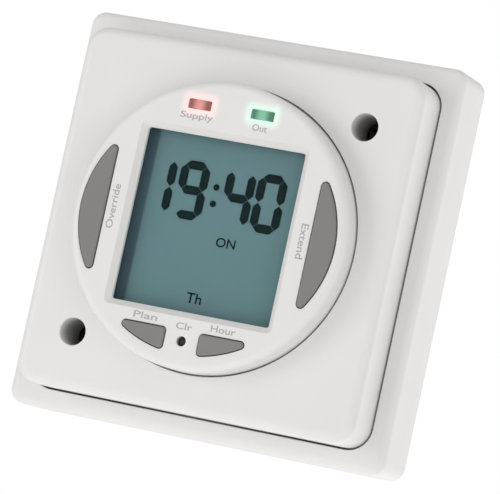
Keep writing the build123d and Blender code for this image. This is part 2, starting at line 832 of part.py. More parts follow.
with BuildPart() as relay_yoke:
    with BuildSketch(front(relay_floor)):
        with Locations(((yoke_left + armature_left - relay_fit) / 2, relay_y)):
            Rectangle(armature_left - relay_fit - yoke_left, yoke_width)
    extrude(amount=yoke_lift + yoke_thickness)
    with BuildSketch(front(relay_floor)):
        with Locations((yoke_left + yoke_thickness / 2, relay_y)):
            Rectangle(yoke_thickness, yoke_width)
    extrude(amount=coil_level + bobbin_radius - relay_floor)
    with BuildSketch(coil_axis.offset(-relay_fit)):
        Circle(core_radius)
    extrude(amount=pole_face - coil_left + relay_fit)
relay_yoke.part.label = "relay_yoke"
export_step(relay_yoke.part, "parts/relay_yoke.step")

with BuildPart() as relay_armature:
    with Locations((armature_left + armature_thickness / 2, -hinge_level, relay_y)):
        Cylinder(armature_thickness / 2, yoke_width)
    with BuildSketch(front(hinge_level)):
        with Locations((armature_left + armature_thickness / 2, relay_y)):
            Rectangle(armature_thickness, yoke_width)
    extrude(amount=armature_height)
relay_armature.part.label = "relay_armature"
export_step(relay_armature.part, "parts/relay_armature.step")

contact_plane = Plane(origin=(blade_left, -contact_level, relay_y), x_dir=(0, 0, 1), z_dir=(-1, 0, 0))
with BuildPart() as relay_blade:
    with BuildSketch(front(hinge_level + contact_height / 4)):
        with Locations((blade_left + blade_thickness / 2, relay_y)):
            Rectangle(blade_thickness, blade_width)
    extrude(amount=3 * contact_height / 4 + 2 * contact_radius)
    with BuildSketch(contact_plane):
        Circle(contact_radius)
    extrude(amount=contact_thickness)
relay_blade.part.label = "relay_blade"
export_step(relay_blade.part, "parts/relay_blade.step")

with BuildPart() as relay_fixed_contact:
    with BuildSketch(front(strip_top - strip_metal)):
        with Locations(((strip_left + strip_right) / 2, relay_y)):
            Rectangle(strip_right - strip_left, strip_depth)
    extrude(amount=strip_metal)
    with BuildSketch(front(power_board_level - solder_length)):
        with Locations((strip_leg_x, relay_y)):
            Rectangle(strip_metal, strip_depth)
    extrude(amount=strip_top - power_board_level + solder_length)
    with BuildSketch(front(contact_level - contact_radius)):
        with Locations((strip_right - strip_metal / 2, relay_y)):
            Rectangle(strip_metal, strip_depth)
    extrude(amount=strip_top - contact_level + contact_radius)
    with BuildSketch(contact_plane.offset(blade_left - fixed_contact_right)):
        Circle(contact_radius)
    extrude(amount=contact_thickness)
relay_fixed_contact.part.label = "relay_fixed_contact"
export_step(relay_fixed_contact.part, "parts/relay_fixed_contact.step")

# ---- other parts on the power board ----
lead_foot = power_board_level - solder_length
with BuildPart() as dropper_capacitor:
    with BuildSketch(front(power_front)):
        with Locations((dropper_x, dropper_y)):
            Rectangle(dropper_width, dropper_length)
    extrude(amount=dropper_height)
    fillet(dropper_capacitor.faces().sort_by(Axis.Y)[0].edges(), dropper_corner)
    with BuildSketch(front(lead_foot)):
        with Locations(*[(dropper_x, dropper_y + d) for d in side_pair(dropper_lead_pitch)]):
            Circle(lead_radius)
    extrude(amount=power_front - lead_foot)
dropper_capacitor.part.label = "dropper_capacitor"
export_step(dropper_capacitor.part, "parts/dropper_capacitor.step")

with BuildPart() as smoothing_capacitors:
    with BuildSketch(front(power_front)):
        with Locations(*can_places):
            Circle(can_radius)
    extrude(amount=can_height)
    fillet(smoothing_capacitors.faces().group_by(Axis.Y)[0].edges(), can_groove)
    with BuildSketch(front(power_front + 2 * can_groove)):
        with Locations(*can_places):
            Circle(can_radius)
            Circle(can_radius - can_groove, mode=Mode.SUBTRACT)
    extrude(amount=2 * can_groove, mode=Mode.SUBTRACT)
    with BuildSketch(front(lead_foot)):
        with Locations(*[(x + d, y) for x, y in can_places for d in side_pair(can_lead_pitch)]):
            Circle(lead_radius)
    extrude(amount=power_front - lead_foot)
smoothing_capacitors.part.label = "smoothing_capacitors"
export_step(smoothing_capacitors.part, "parts/smoothing_capacitors.step")

with BuildPart() as varistor:
    with Locations((varistor_x, -(power_front + varistor_radius), varistor_y)):
        Cylinder(varistor_radius, varistor_thickness)
    fillet(varistor.edges(), dropper_corner)
    with BuildSketch(front(lead_foot)):
        with Locations(*[(varistor_x + d, varistor_y) for d in side_pair(varistor_lead_pitch)]):
            Circle(lead_radius)
    extrude(amount=power_front + varistor_radius - lead_foot)
varistor.part.label = "varistor"
export_step(varistor.part, "parts/varistor.step")


def axial_parts(places, radius, length, waist):
    """Parts that lie on the board along Z, with a lead bent down into the board at each end."""
    level = power_front + axial_lift + radius
    with BuildPart() as row:
        for x, y in places:
            with Locations((x, -level, y)):
                Cylinder(radius, length)
                Cylinder(lead_radius - lead_bend, axial_lead_span)
            if waist:
                with Locations((x, -level, y)):
                    Cylinder(radius, length / 2, mode=Mode.SUBTRACT)
                    Cylinder(radius - waist, length / 2)
            with BuildSketch(front(lead_foot)):
                with Locations(*[(x, y + d) for d in side_pair(axial_lead_span)]):
                    Circle(lead_radius)
            extrude(amount=level + lead_radius + lead_bend - lead_foot)
    return row


diodes = axial_parts(diode_places, diode_radius, diode_length, 0.0)
diodes.part.label = "diodes"
export_step(diodes.part, "parts/diodes.step")

resistors = axial_parts(resistor_places, resistor_radius, resistor_length, resistor_waist)
resistors.part.label = "resistors"
export_step(resistors.part, "parts/resistors.step")

# ---- power board ----
with BuildPart() as power_board:
    with BuildSketch(front(power_board_level)):
        with Locations((0, (power_board_top - power_board_bottom) / 2)):
            Rectangle(power_board_width, power_board_top + power_board_bottom)
        with Locations((-power_board_width / 2, 0), (power_board_width / 2, 0)):
            Rectangle(2 * notch_depth, notch_height, mode=Mode.SUBTRACT)
        with Locations(fascia_seats[0]):
            Circle(pillar_radius + box_wall / 4, mode=Mode.SUBTRACT)
        with Locations(*board_posts):
            Circle(power_screw_radius + lead_gap, mode=Mode.SUBTRACT)
        with Locations(*lead_places):
            Circle(lead_radius + lead_gap, mode=Mode.SUBTRACT)
        with Locations(*[(x, bar_back - bar_thickness / 2) for x in way_places]):
            Rectangle(bar_tail + lead_gap, bar_thickness + lead_gap, mode=Mode.SUBTRACT)
        with Locations((strip_leg_x, relay_y)):
            Rectangle(strip_leg_hole, strip_depth + lead_gap, mode=Mode.SUBTRACT)
    extrude(amount=board_thickness)
power_board.part.label = "power_board"
export_step(power_board.part, "parts/power_board.step")


def screws(places, seat, shank_radius, length, head_radius, head_height, toward=1):
    """Pan screws with a cross recess, heads on the seat plane, shanks pointing to the wall."""
    cross_long = 1.3 * head_radius
    cross_wide = 0.35 * head_radius
    with BuildPart() as group:
        with BuildSketch(front(seat)):
            with Locations(*places):
                Circle(head_radius)
        extrude(amount=toward * head_height)
        head_edges = group.faces().group_by(Axis.Y)[0 if toward > 0 else -1].edges()
        fillet(head_edges, head_height / 4)
        with BuildSketch(front(seat + toward * head_height)):
            with Locations(*places):
                Rectangle(cross_long, cross_wide)
                Rectangle(cross_wide, cross_long)
        extrude(amount=-toward * head_height / 2, mode=Mode.SUBTRACT)
        with BuildSketch(front(seat)):
            with Locations(*places):
                Circle(shank_radius)
        extrude(amount=-toward * length)
    return group


cover_screws = screws(fascia_seats, screw_seat, cover_screw_radius, cover_screw_length,
                      cover_screw_head, cover_screw_head_height)
cover_screws.part.label = "cover_screws"
export_step(cover_screws.part, "parts/cover_screws.step")

board_screws = screws(board_posts, power_front, power_screw_radius, power_screw_length,
                      2 * power_screw_radius, board_thickness)
board_screws.part.label = "board_screws"
export_step(board_screws.part, "parts/board_screws.step")

display_screws = screws(display_bosses, display_back, display_screw_radius, display_screw_length,
                        2 * display_screw_radius, board_thickness, toward=-1)
display_screws.part.label = "display_screws"
export_step(display_screws.part, "parts/display_screws.step")

with BuildPart() as cover_inserts:
    with BuildSketch(front(pillar_top - insert_length)):
        with Locations(*fascia_seats):
            Circle(insert_radius)
            Circle(cover_screw_radius + thread_gap, mode=Mode.SUBTRACT)
    extrude(amount=insert_length)
cover_inserts.part.label = "cover_inserts"
export_step(cover_inserts.part, "parts/cover_inserts.step")
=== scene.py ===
"""A wall-mounted digital time switch, finished for close views.

The file is laid out as an add-on: settings hold the sizes and colours that a user would change, each
operator makes one piece or one group of like pieces, and main() runs them in order. Lengths are in metres.
The front faces -Y, so a point at (x, z) and a depth in front of the wall stands at (x, -depth, z).
"""

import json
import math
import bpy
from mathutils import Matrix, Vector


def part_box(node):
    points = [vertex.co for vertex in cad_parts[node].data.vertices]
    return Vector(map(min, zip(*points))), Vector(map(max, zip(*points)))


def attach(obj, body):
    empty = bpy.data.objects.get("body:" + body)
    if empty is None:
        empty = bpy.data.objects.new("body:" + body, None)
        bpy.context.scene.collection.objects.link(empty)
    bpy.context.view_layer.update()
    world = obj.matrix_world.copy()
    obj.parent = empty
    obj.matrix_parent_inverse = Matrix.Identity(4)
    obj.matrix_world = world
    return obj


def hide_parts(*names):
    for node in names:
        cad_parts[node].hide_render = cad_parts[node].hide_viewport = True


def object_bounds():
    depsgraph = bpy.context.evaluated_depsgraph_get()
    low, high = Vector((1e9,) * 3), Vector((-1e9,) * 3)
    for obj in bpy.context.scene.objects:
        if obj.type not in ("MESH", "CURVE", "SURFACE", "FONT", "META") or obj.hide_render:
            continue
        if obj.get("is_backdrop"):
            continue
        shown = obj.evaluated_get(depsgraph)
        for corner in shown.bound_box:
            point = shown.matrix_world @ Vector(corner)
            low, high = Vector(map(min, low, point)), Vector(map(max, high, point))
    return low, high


bl_info = {
    "name": "Digital Time Switch",
    "version": (1, 0, 0),
    "blender": (4, 5, 0),
    "location": "View3D > Sidebar > Time Switch",
    "description": "Builds the housing, keys, display and fasteners of a wall-mounted time switch",
    "category": "Object",
}

import bmesh
import bpy
from mathutils import Matrix, Vector
from mathutils.geometry import delaunay_2d_cdt

MM = 0.001
SHARP_TURN = math.radians(38)

# Radii of posts, bosses, bores, pin, leads and dots, with the depths and places that go with them
POST, POST_BORE = 3.0 * MM, 1.2 * MM
INSERT_POST, INSERT_BORE = 4.2 * MM, 2.3 * MM
BOSS, BOSS_BORE = 1.9 * MM, 1.0 * MM
WELL_BORE, WELL_SEAT = 1.85 * MM, 2.2 * MM
PIN, PIN_HOLE, PIN_COLLAR = 0.85 * MM, 1.05 * MM, 1.5 * MM
LAMP_BODY, LEAD, LEAD_SPREAD = 7.0 * MM, 0.3 * MM, 1.27 * MM
DOT, DOT_X, DOT_HEIGHTS = 0.7 * MM, -1.2 * MM, (5.0 * MM, 8.5 * MM)
DIGIT_STARTS = (-17.2 * MM, -9.8 * MM, 0.6 * MM, 7.6 * MM)
WELL_SHADE = (0.48, 0.48, 0.48, 1.0)

# Head radius, head height and shank radius of each kind of screw
COVER_SCREW = (2.7 * MM, WELL_SEAT, 1.75 * MM)
BOARD_SCREW = (2.3 * MM, 1.6 * MM, 1.15 * MM)
DISPLAY_SCREW = (1.9 * MM, 1.6 * MM, 0.95 * MM)

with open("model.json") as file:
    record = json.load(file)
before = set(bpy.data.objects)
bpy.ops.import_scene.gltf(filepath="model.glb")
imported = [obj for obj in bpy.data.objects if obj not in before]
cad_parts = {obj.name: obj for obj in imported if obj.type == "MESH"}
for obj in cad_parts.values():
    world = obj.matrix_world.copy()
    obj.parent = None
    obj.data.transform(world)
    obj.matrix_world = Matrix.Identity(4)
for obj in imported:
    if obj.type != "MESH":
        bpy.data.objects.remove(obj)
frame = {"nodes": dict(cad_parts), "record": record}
CAD_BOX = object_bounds()


def depth_of(node):
    """How far a node's front stands from the wall."""
    return -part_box(node)[0].y


def back_of(node):
    """How far a node's back stands from the wall."""
    return -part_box(node)[1].y


def half_width(node):
    """Half of a node's width."""
    low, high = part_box(node)
    return (high.x - low.x) / 2


def half_height(node):
    """Half of a node's height."""
    low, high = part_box(node)
    return (high.z - low.z) / 2


def middle(node):
    """A node's middle, as (x, z)."""
    low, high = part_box(node)
    return (low.x + high.x) / 2, (low.z + high.z) / 2


def stand(name, data):
    """A new object in the scene."""
    made = bpy.data.objects.new(name, data)
    bpy.context.scene.collection.objects.link(made)
    return made


def baked(holder):
    """The plain mesh of an object with its curves and modifiers worked out; the object is removed."""
    bpy.context.view_layer.update()
    mesh = bpy.data.meshes.new_from_object(holder.evaluated_get(bpy.context.evaluated_depsgraph_get()))
    bpy.data.objects.remove(holder)
    return mesh


def screw_places(node):
    """Where each solid of a node stands, as (x, z), from left to right."""
    mesh = bmesh.new()
    mesh.from_mesh(frame["nodes"][node].data)
    bmesh.ops.remove_doubles(mesh, verts=mesh.verts, dist=0.001 * MM)
    waiting = set(mesh.verts)
    places = []
    while waiting:
        solid, reach = [], [waiting.pop()]
        while reach:
            corner = reach.pop()
            solid.append(corner.co)
            for edge in corner.link_edges:
                other = edge.other_vert(corner)
                if other in waiting:
                    waiting.discard(other)
                    reach.append(other)
        xs, zs = [co.x for co in solid], [co.z for co in solid]
        places.append(((min(xs) + max(xs)) / 2, (min(zs) + max(zs)) / 2))
    mesh.free()
    return sorted(places, key=lambda place: (round(place[0], 5), round(place[1], 5)))


# ---------------------------------------------------------------- settings


def millimetres(name, description, number):
    """A length that a user can change, given in millimetres."""
    return bpy.props.FloatProperty(name=name, description=description, default=number * MM, unit="LENGTH")


def degrees(name, description, number):
    """An angle that a user can change, given in degrees."""
    return bpy.props.FloatProperty(
        name=name, description=description, default=math.radians(number), subtype="ANGLE")


def swatch(name, description, colour):
    """A colour that a user can change."""
    return bpy.props.FloatVectorProperty(
        name=name, description=description, subtype="COLOR", size=3, min=0.0, max=1.0, default=colour)


class HousingSettings(bpy.types.PropertyGroup):
    """Sizes of the three moulded shells."""

    box_corner: millimetres("Box corner", "Corner radius of the wall box", 3.0)
    box_edge: millimetres("Box edge", "Rounding of the box's front edge", 1.6)
    box_wall: millimetres("Box wall", "Thickness of the box's walls and back", 2.4)
    rim: millimetres("Rim", "Depth of the rim that frames the cover", 3.0)
    cover_corner: millimetres("Cover corner", "Corner radius of the cover", 4.8)
    cover_edge: millimetres("Cover edge", "Rounding of the cover's front edge", 2.0)
    cover_wall: millimetres("Cover wall", "Thickness of the cover", 2.2)
    cover_gap: millimetres("Cover gap", "Gap between cover and rim", 0.4)
    skirt_overlap: millimetres("Skirt overlap", "How far the cover's skirt reaches inside the rim", 3.2)
    fascia_radius: millimetres("Fascia radius", "Radius of the round fascia", 30.3)
    fascia_edge: millimetres("Fascia edge", "Rounding of the fascia's edge", 1.5)
    fascia_gap: millimetres("Fascia gap", "Gap between fascia and cover", 0.35)
    fascia_front: millimetres("Fascia front", "Thickness of the fascia's front", 2.0)
    fascia_skirt: millimetres("Fascia skirt", "Thickness of the fascia's skirt", 1.4)
    flange: millimetres("Flange", "Thickness of the flange behind the cover", 1.6)
    hole_radius: millimetres("Hole radius", "Radius of the deep screw holes", 2.9)
    hole_wall: millimetres("Hole wall", "Wall of the tubes behind the screw holes", 1.5)
    colour: swatch("Plastic", "Colour of the white mouldings", (0.80, 0.787, 0.773))


class KeySettings(bpy.types.PropertyGroup):
    """Outlines of the push keys."""

    side_inner: millimetres(
        "Side key inner edge", "Distance of its straight edge from the middle", 23.0)
    side_outer: millimetres("Side key outer edge", "Distance of its round edge from the middle", 28.4)
    side_arc: millimetres("Side key arc", "Radius of its round edge", 22.5)
    side_tip: millimetres("Side key tip", "Rounding of its tips", 0.8)
    lower_inner: millimetres("Lower key inner edge", "Distance of its inner edge from the middle", 3.9)
    lower_top: millimetres("Lower key top", "Distance of its top edge below the middle", 22.2)
    lower_ring: millimetres("Lower key ring", "Radius of its lower edge", 27.0)
    lower_tip: millimetres("Lower key tip", "Rounding of its corners", 0.7)
    gap: millimetres("Key gap", "Gap round each key", 0.2)
    edge: millimetres("Key edge", "Rounding of a key's front edge", 0.35)
    lip: millimetres("Key lip", "Width of the flange behind the fascia", 0.7)
    colour: swatch("Key colour", "Colour of the keys", (0.212, 0.210, 0.203))


class DisplaySettings(bpy.types.PropertyGroup):
    """The window and what the display shows."""

    window_width: millimetres("Window width", "Width of the display window", 35.4)
    window_height: millimetres("Window height", "Height of the display window", 36.6)
    window_corner: millimetres("Window corner", "Corner radius of the window", 0.6)
    bevel: millimetres("Window bevel", "Width of the bevel round the window", 1.2)
    digits: bpy.props.StringProperty(
        name="Time", description="Four digits that the display shows", default="1940")
    digit_height: millimetres("Digit height", "Height of a digit", 12.4)
    digit_width: millimetres("Digit width", "Width of a digit", 6.6)
    segment: millimetres("Segment", "Thickness of a segment", 1.85)
    digit_base: millimetres("Digit base", "Height of the digits' foot above the middle", 0.8)
    shade: millimetres("Shaded edge", "Width of the darker strip along the film's left edge", 3.0)
    colour: swatch("Display", "Colour of the display's ground", (0.165, 0.305, 0.322))


class StageSettings(bpy.types.PropertyGroup):
    """Camera and light."""

    azimuth: degrees("Azimuth", "How far to the right the camera stands", 21.17)
    elevation: degrees("Elevation", "How far above the middle the camera stands", -4.48)
    roll: degrees("Roll", "Turn of the camera about its own axis", -12.25)
    distance: bpy.props.FloatProperty(
        name="Distance", description="Distance from the camera to its aim", default=0.7632, unit="LENGTH")
    aim_x: millimetres("Aim x", "Aim to the right of the middle", 4.35)
    aim_z: millimetres("Aim z", "Aim above the middle", -1.4)
    aim_depth: millimetres("Aim depth", "Aim in front of the wall", 15.0)
    lens: bpy.props.FloatProperty(
        name="Lens", description="Focal length in millimetres", default=262.6)
    key_light: bpy.props.FloatProperty(
        name="Key light", description="Power of the large soft light in watts", default=4.15)
    edge_light: bpy.props.FloatProperty(
        name="Edge light", description="Power of the lights that brighten the sides, in watts", default=2.5)
    sky: bpy.props.FloatProperty(
        name="Sky", description="Strength of the light from all round", default=0.61)


def settings(name):
    """One of the scene's groups of settings."""
    return getattr(bpy.context.scene, "switch_" + name)


# ---------------------------------------------------------------- outlines


def arc(centre, radius, start, end, steps):
    """Points on an arc, both ends included; angles in radians."""
    return [(centre[0] + radius * math.cos(start + (end - start) * i / steps),
             centre[1] + radius * math.sin(start + (end - start) * i / steps)) for i in range(steps + 1)]


def circle(radius, centre=(0.0, 0.0), steps=48):
    """Points on a full circle."""
    return arc(centre, radius, 0, 2 * math.pi * (1 - 1 / steps), steps - 1)


def rounded_box(half_w, half_h, corner, centre=(0.0, 0.0), steps=10):
    """Points round a rectangle with rounded corners."""
    corner = max(corner, 0.01 * MM)
    points = []
    for quarter, (sx, sz) in enumerate(((1, 1), (-1, 1), (-1, -1), (1, -1))):
        hub = (centre[0] + sx * (half_w - corner), centre[1] + sz * (half_h - corner))
        points += arc(hub, corner, quarter * math.pi / 2, (quarter + 1) * math.pi / 2, steps)
    return points


def mirrored(points, side):
    """The outline for the left when side is -1, in the same turning sense."""
    return points if side > 0 else [(-x, z) for x, z in reversed(points)]


def side_key(side, grow=0.0):
    """Outline of a side key: straight inner edge, round outer edge, rounded tips."""
    keys = settings("keys")
    hub = keys.side_outer - keys.side_arc
    tip_x = keys.side_inner + keys.side_tip
    tip_z = math.sqrt((keys.side_arc - keys.side_tip) ** 2 - (tip_x - hub) ** 2)
    lean = math.atan2(tip_z, tip_x - hub)
    tip = keys.side_tip + grow
    points = arc((tip_x, -tip_z), tip, -math.pi, -lean, 7)
    points += arc((hub, 0.0), keys.side_arc + grow, -lean, lean, 36)[1:-1]
    points += arc((tip_x, tip_z), tip, lean, math.pi, 7)
    return mirrored(points, side)


def lower_key(side, grow=0.0):
    """Outline of a lower key: straight top and inner edges, lower edge round the fascia."""
    keys = settings("keys")
    tip, ring = keys.lower_tip, keys.lower_ring
    inner, top = keys.lower_inner + tip, -keys.lower_top - tip
    foot = -math.sqrt((ring - tip) ** 2 - inner ** 2)
    nose = math.sqrt((ring - tip) ** 2 - top ** 2)
    foot_turn, nose_turn = math.atan2(foot, inner), math.atan2(top, nose)
    points = arc((inner, top), tip + grow, math.pi / 2, math.pi, 6)
    points += arc((inner, foot), tip + grow, math.pi, 2 * math.pi + foot_turn, 6)
    points += arc((0.0, 0.0), ring + grow, foot_turn, nose_turn, 18)[1:-1]
    points += arc((nose, top), tip + grow, nose_turn, math.pi / 2, 8)
    return mirrored(points, side)


def cross(arm, width):
    """Outline of a cross recess."""
    a, w = arm / 2, width / 2
    return [(a, -w), (a, w), (w, w), (w, a), (-w, a), (-w, w),
            (-a, w), (-a, -w), (-w, -w), (-w, -a), (w, -a), (w, -w)]


def within(point, outline):
    """Whether a point lies inside an outline."""
    inside = False
    for one, other in zip(outline, outline[1:] + outline[:1]):
        if (one.y > point.y) != (other.y > point.y):
            reach = one.x + (point.y - one.y) / (other.y - one.y) * (other.x - one.x)
            inside ^= point.x < reach
    return inside


# ---------------------------------------------------------------- moulding


class Mould:
    """A mesh made of rings: skins join rings, plates fill flat stretches, holes included."""

    def __init__(self):
        self.mesh = bmesh.new()

    def ring(self, outline, depth):
        """A ring of corners at a depth in front of the wall."""
        return [self.mesh.verts.new((x, -depth, z)) for x, z in outline]

    def skin(self, *rings):
        """Walls from each ring to the next."""
        for one, other in zip(rings, rings[1:]):
            count = len(one)
            for i in range(count):
                j = (i + 1) % count
                self.mesh.faces.new((one[i], one[j], other[j], other[i]))

    def tube(self, outline, *depths):
        """A straight wall on one outline through these depths; gives its rings."""
        rings = [self.ring(outline, depth) for depth in depths]
        self.skin(*rings)
        return rings

    def plate(self, *rings):
        """A flat face inside the first ring and outside the others."""
        corners = [corner for ring in rings for corner in ring]
        flat = [Vector((corner.co.x, corner.co.z)) / MM for corner in corners]
        edges, outlines, start = [], [], 0
        for ring in rings:
            count = len(ring)
            edges += [(start + i, start + (i + 1) % count) for i in range(count)]
            outlines.append(flat[start:start + count])
            start += count
        points, _, faces, sources, _, _ = delaunay_2d_cdt(flat, edges, [], 0, 1e-6)
        for face in faces:
            hub = sum((points[i] for i in face), Vector((0.0, 0.0))) / len(face)
            if within(hub, outlines[0]) and not any(within(hub, hole) for hole in outlines[1:]):
                self.mesh.faces.new([corners[sources[i][0]] for i in face])

    def lip(self, outline, depth, radius, sign=1, steps=5):
        """Rings that round an edge over, from its wall to the face at this depth.

        sign is 1 where the outline shrinks towards the face, and -1 where a hole opens out to it.
        """
        rings = []
        for i in range(steps + 1):
            turn = math.pi / 2 * i / steps
            inset = radius * (1 - math.cos(turn))
            rings.append(self.ring(outline(sign * inset), depth - radius * (1 - math.sin(turn))))
        return rings

    def piece(self, name, finish, body, replaces=(), slot=None):
        """The finished piece, riding its body."""
        bmesh.ops.remove_doubles(self.mesh, verts=self.mesh.verts, dist=0.0005 * MM)
        bmesh.ops.recalc_face_normals(self.mesh, faces=self.mesh.faces)
        loose = sum(len(edge.link_faces) != 2 for edge in self.mesh.edges)
        if loose:
            raise RuntimeError(f"{name} isn't closed: {loose} edges don't join two faces")
        mesh = bpy.data.meshes.new(name)
        self.mesh.to_mesh(mesh)
        self.mesh.free()
        return dress(mesh, name, finish, body, replaces, slot)


def dress(mesh, name, finish, body, replaces=(), slot=None):
    """An object for a finished mesh: smooth, with crisp corners, its material and its body."""
    mesh.shade_smooth()
    mesh.set_sharp_from_angle(angle=SHARP_TURN)
    mesh.materials.clear()
    mesh.materials.append(finish)
    piece = stand(name, mesh)
    crisp = piece.modifiers.new("crisp corners", "WEIGHTED_NORMAL")
    crisp.keep_sharp = True
    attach(piece, body)
    if replaces:
        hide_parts(*replaces)
    slot or slot_of(replaces[0])
    return piece


def slot_of(node):
    """The record's material slot of a node."""
    return next(part["material_slot"] for part in frame["record"]["subparts"] if part["node"] == node)


# ---------------------------------------------------------------- finishes


class Finish:
    """A material under construction: a Principled shader and the nodes that feed it."""

    def __init__(self, name, colour, roughness, **sockets):
        self.material = bpy.data.materials.new(name)
        self.material.use_nodes = True
        self.tree = self.material.node_tree
        self.shader = self.tree.nodes["Principled BSDF"]
        self.place = self.node("ShaderNodeTexCoord").outputs["Object"]
        self.shader.inputs["Base Color"].default_value = (*colour, 1.0)
        self.shader.inputs["Roughness"].default_value = roughness
        for socket, value in sockets.items():
            self.shader.inputs[socket.replace("_", " ")].default_value = value

    def node(self, kind, **facts):
        """A new node with its settings."""
        made = self.tree.nodes.new(kind)
        for fact, value in facts.items():
            setattr(made, fact, value)
        return made

    def link(self, source, target):
        """Joins an output to an input."""
        self.tree.links.new(source, target)

    def fill(self, socket, value):
        """Sets an input to a value or to another node's output."""
        if isinstance(value, bpy.types.NodeSocket):
            self.link(value, socket)
        else:
            socket.default_value = value

    def feed(self, made, **values):
        """Fills a node's inputs by name, with _ for a space."""
        for name, value in values.items():
            self.fill(made.inputs[name.replace("_", " ")], value)
        return made

    def maths(self, operation, *values, kind="ShaderNodeMath", output="Value"):
        """One step of arithmetic on numbers and outputs."""
        made = self.node(kind, operation=operation)
        for socket, value in zip(made.inputs, values):
            self.fill(socket, value)
        return made.outputs[output]

    def vector(self, operation, *values, output="Vector"):
        """One step of arithmetic on vectors."""
        return self.maths(operation, *values, kind="ShaderNodeVectorMath", output=output)

    def blend(self, factor, first, second, **facts):
        """The first colour where the factor is 0, the second where it is 1."""
        made = self.node("ShaderNodeMix", data_type="RGBA", **facts)
        for socket, value in (("Factor", factor), (6, first), (7, second)):
            self.fill(made.inputs[socket], value)
        return made.outputs[2]

    def coat(self, colour, socket="Base Color"):
        """Joins an output to the shader."""
        self.link(colour, self.shader.inputs[socket])

    def noise(self, size, detail=2.0):
        """Noise whose patches are about this size."""
        made = self.feed(self.node("ShaderNodeTexNoise"), Scale=1 / size, Detail=detail, Vector=self.place)
        return made.outputs["Fac"]

    def bands(self, size, direction="X"):
        """Straight bands of this pitch across one direction."""
        made = self.node("ShaderNodeTexWave", bands_direction=direction)
        self.feed(made, Scale=math.pi / (10 * size), Distortion=0.0, Vector=self.place)
        return made.outputs["Fac"]

    def ramp(self, source, stops):
        """A colour ramp; stops are (position, colour)."""
        made = self.node("ShaderNodeValToRGB")
        elements = made.color_ramp.elements
        while len(elements) < len(stops):
            elements.new(0.5)
        for element, (position, colour) in zip(elements, stops):
            element.position = position
            element.color = (*colour, 1.0)
        self.link(source, made.inputs["Fac"])
        return made.outputs["Color"]

    def spread(self, source, low, high):
        """Maps 0..1 onto a narrower range."""
        made = self.feed(self.node("ShaderNodeMapRange"), To_Min=low, To_Max=high, Value=source)
        return made.outputs["Result"]

    def mottle(self, colour, source, amount):
        """A colour that wanders a little darker and lighter."""
        dark = tuple(channel * (1 - amount) for channel in colour)
        light = tuple(min(channel * (1 + amount), 1.0) for channel in colour)
        self.coat(self.ramp(source, ((0.3, dark), (0.7, light))))

    def rough(self, source, low, high):
        """A roughness that wanders between two values."""
        self.coat(self.spread(source, low, high), "Roughness")

    def grain(self, source, height, strength=1.0):
        """Fine relief of this height."""
        bump = self.feed(self.node("ShaderNodeBump"), Strength=strength, Distance=height, Height=source)
        self.coat(bump.outputs["Normal"], "Normal")

    def near_box(self, centre, half, reach):
        """1 on a flat rectangle round a centre, falling to 0 at this reach outside it."""
        away = self.vector("ABSOLUTE", self.vector("SUBTRACT", self.place, (centre[0], 0.0, centre[1])))
        outside = self.vector("SUBTRACT", away, (half[0], 1.0, half[1]))
        clipped = self.vector("MAXIMUM", outside, (0.0, 0.0, 0.0))
        fall = self.feed(self.node("ShaderNodeMapRange", interpolation_type="SMOOTHSTEP"), From_Max=reach,
                         To_Min=1.0, To_Max=0.0, Value=self.vector("LENGTH", clipped, output="Value"))
        return fall.outputs["Result"]


def moulded(name, colour, roughness=0.42, texture=0.35 * MM, relief=0.012 * MM, amount=0.012):
    """Moulded plastic: faint flow marks in the colour and a fine eroded texture."""
    made = Finish(name, colour, roughness)
    made.mottle(colour, made.noise(14 * MM, 3.0), amount)
    fine = made.noise(texture, 3.0)
    made.rough(fine, roughness - 0.06, roughness + 0.06)
    made.grain(fine, relief, 0.5)
    return made


def metal(name, colour, roughness=0.28, brush=0.12 * MM):
    """Plated or rolled metal with fine brushing and patchy tarnish."""
    made = Finish(name, colour, roughness, Metallic=1.0)
    made.mottle(colour, made.noise(1.6 * MM, 4.0), 0.08)
    fine = made.noise(brush, 2.0)
    made.rough(fine, roughness - 0.08, roughness + 0.12)
    made.grain(fine, 0.004 * MM, 0.6)
    return made


def banded(name, ground, band, pitch, direction, edge=0.5, roughness=0.4):
    """A ground with straight bands of another colour."""
    made = Finish(name, ground, roughness)
    stops = ((edge - 0.04, ground), (edge + 0.04, band))
    made.coat(made.ramp(made.bands(pitch, direction), stops))
    made.grain(made.noise(0.2 * MM), 0.006 * MM, 0.5)
    return made


def board_finish(name):
    """Circuit board: green lacquer over long thin tracks, with tinned holes scattered among them."""
    made = Finish(name, (0.02, 0.16, 0.07), 0.32)
    turn = made.feed(made.node("ShaderNodeMapping"), Rotation=(math.pi / 2, 0.0, 0.0), Vector=made.place)
    tracks = made.node("ShaderNodeTexBrick", offset=0.37, offset_frequency=3)
    made.feed(tracks, Vector=turn.outputs["Vector"], Scale=1.0, Brick_Width=16.3 * MM, Row_Height=1.27 * MM,
              Mortar_Size=0.3 * MM, Mortar_Smooth=0.1, Bias=-0.3, Color1=(0.016, 0.135, 0.055, 1.0),
              Color2=(0.022, 0.165, 0.07, 1.0), Mortar=(0.012, 0.10, 0.04, 1.0))
    holes = made.node("ShaderNodeTexVoronoi", distance="EUCLIDEAN")
    made.feed(holes, Scale=1 / (5.5 * MM), Vector=made.place)
    tinned = made.ramp(holes.outputs["Distance"], ((0.07, (1.0, 1.0, 1.0)), (0.09, (0.0, 0.0, 0.0))))
    made.coat(made.blend(tinned, tracks.outputs["Color"], (0.55, 0.55, 0.52, 1.0)))
    made.grain(tracks.outputs["Fac"], 0.03 * MM, 0.6)
    return made


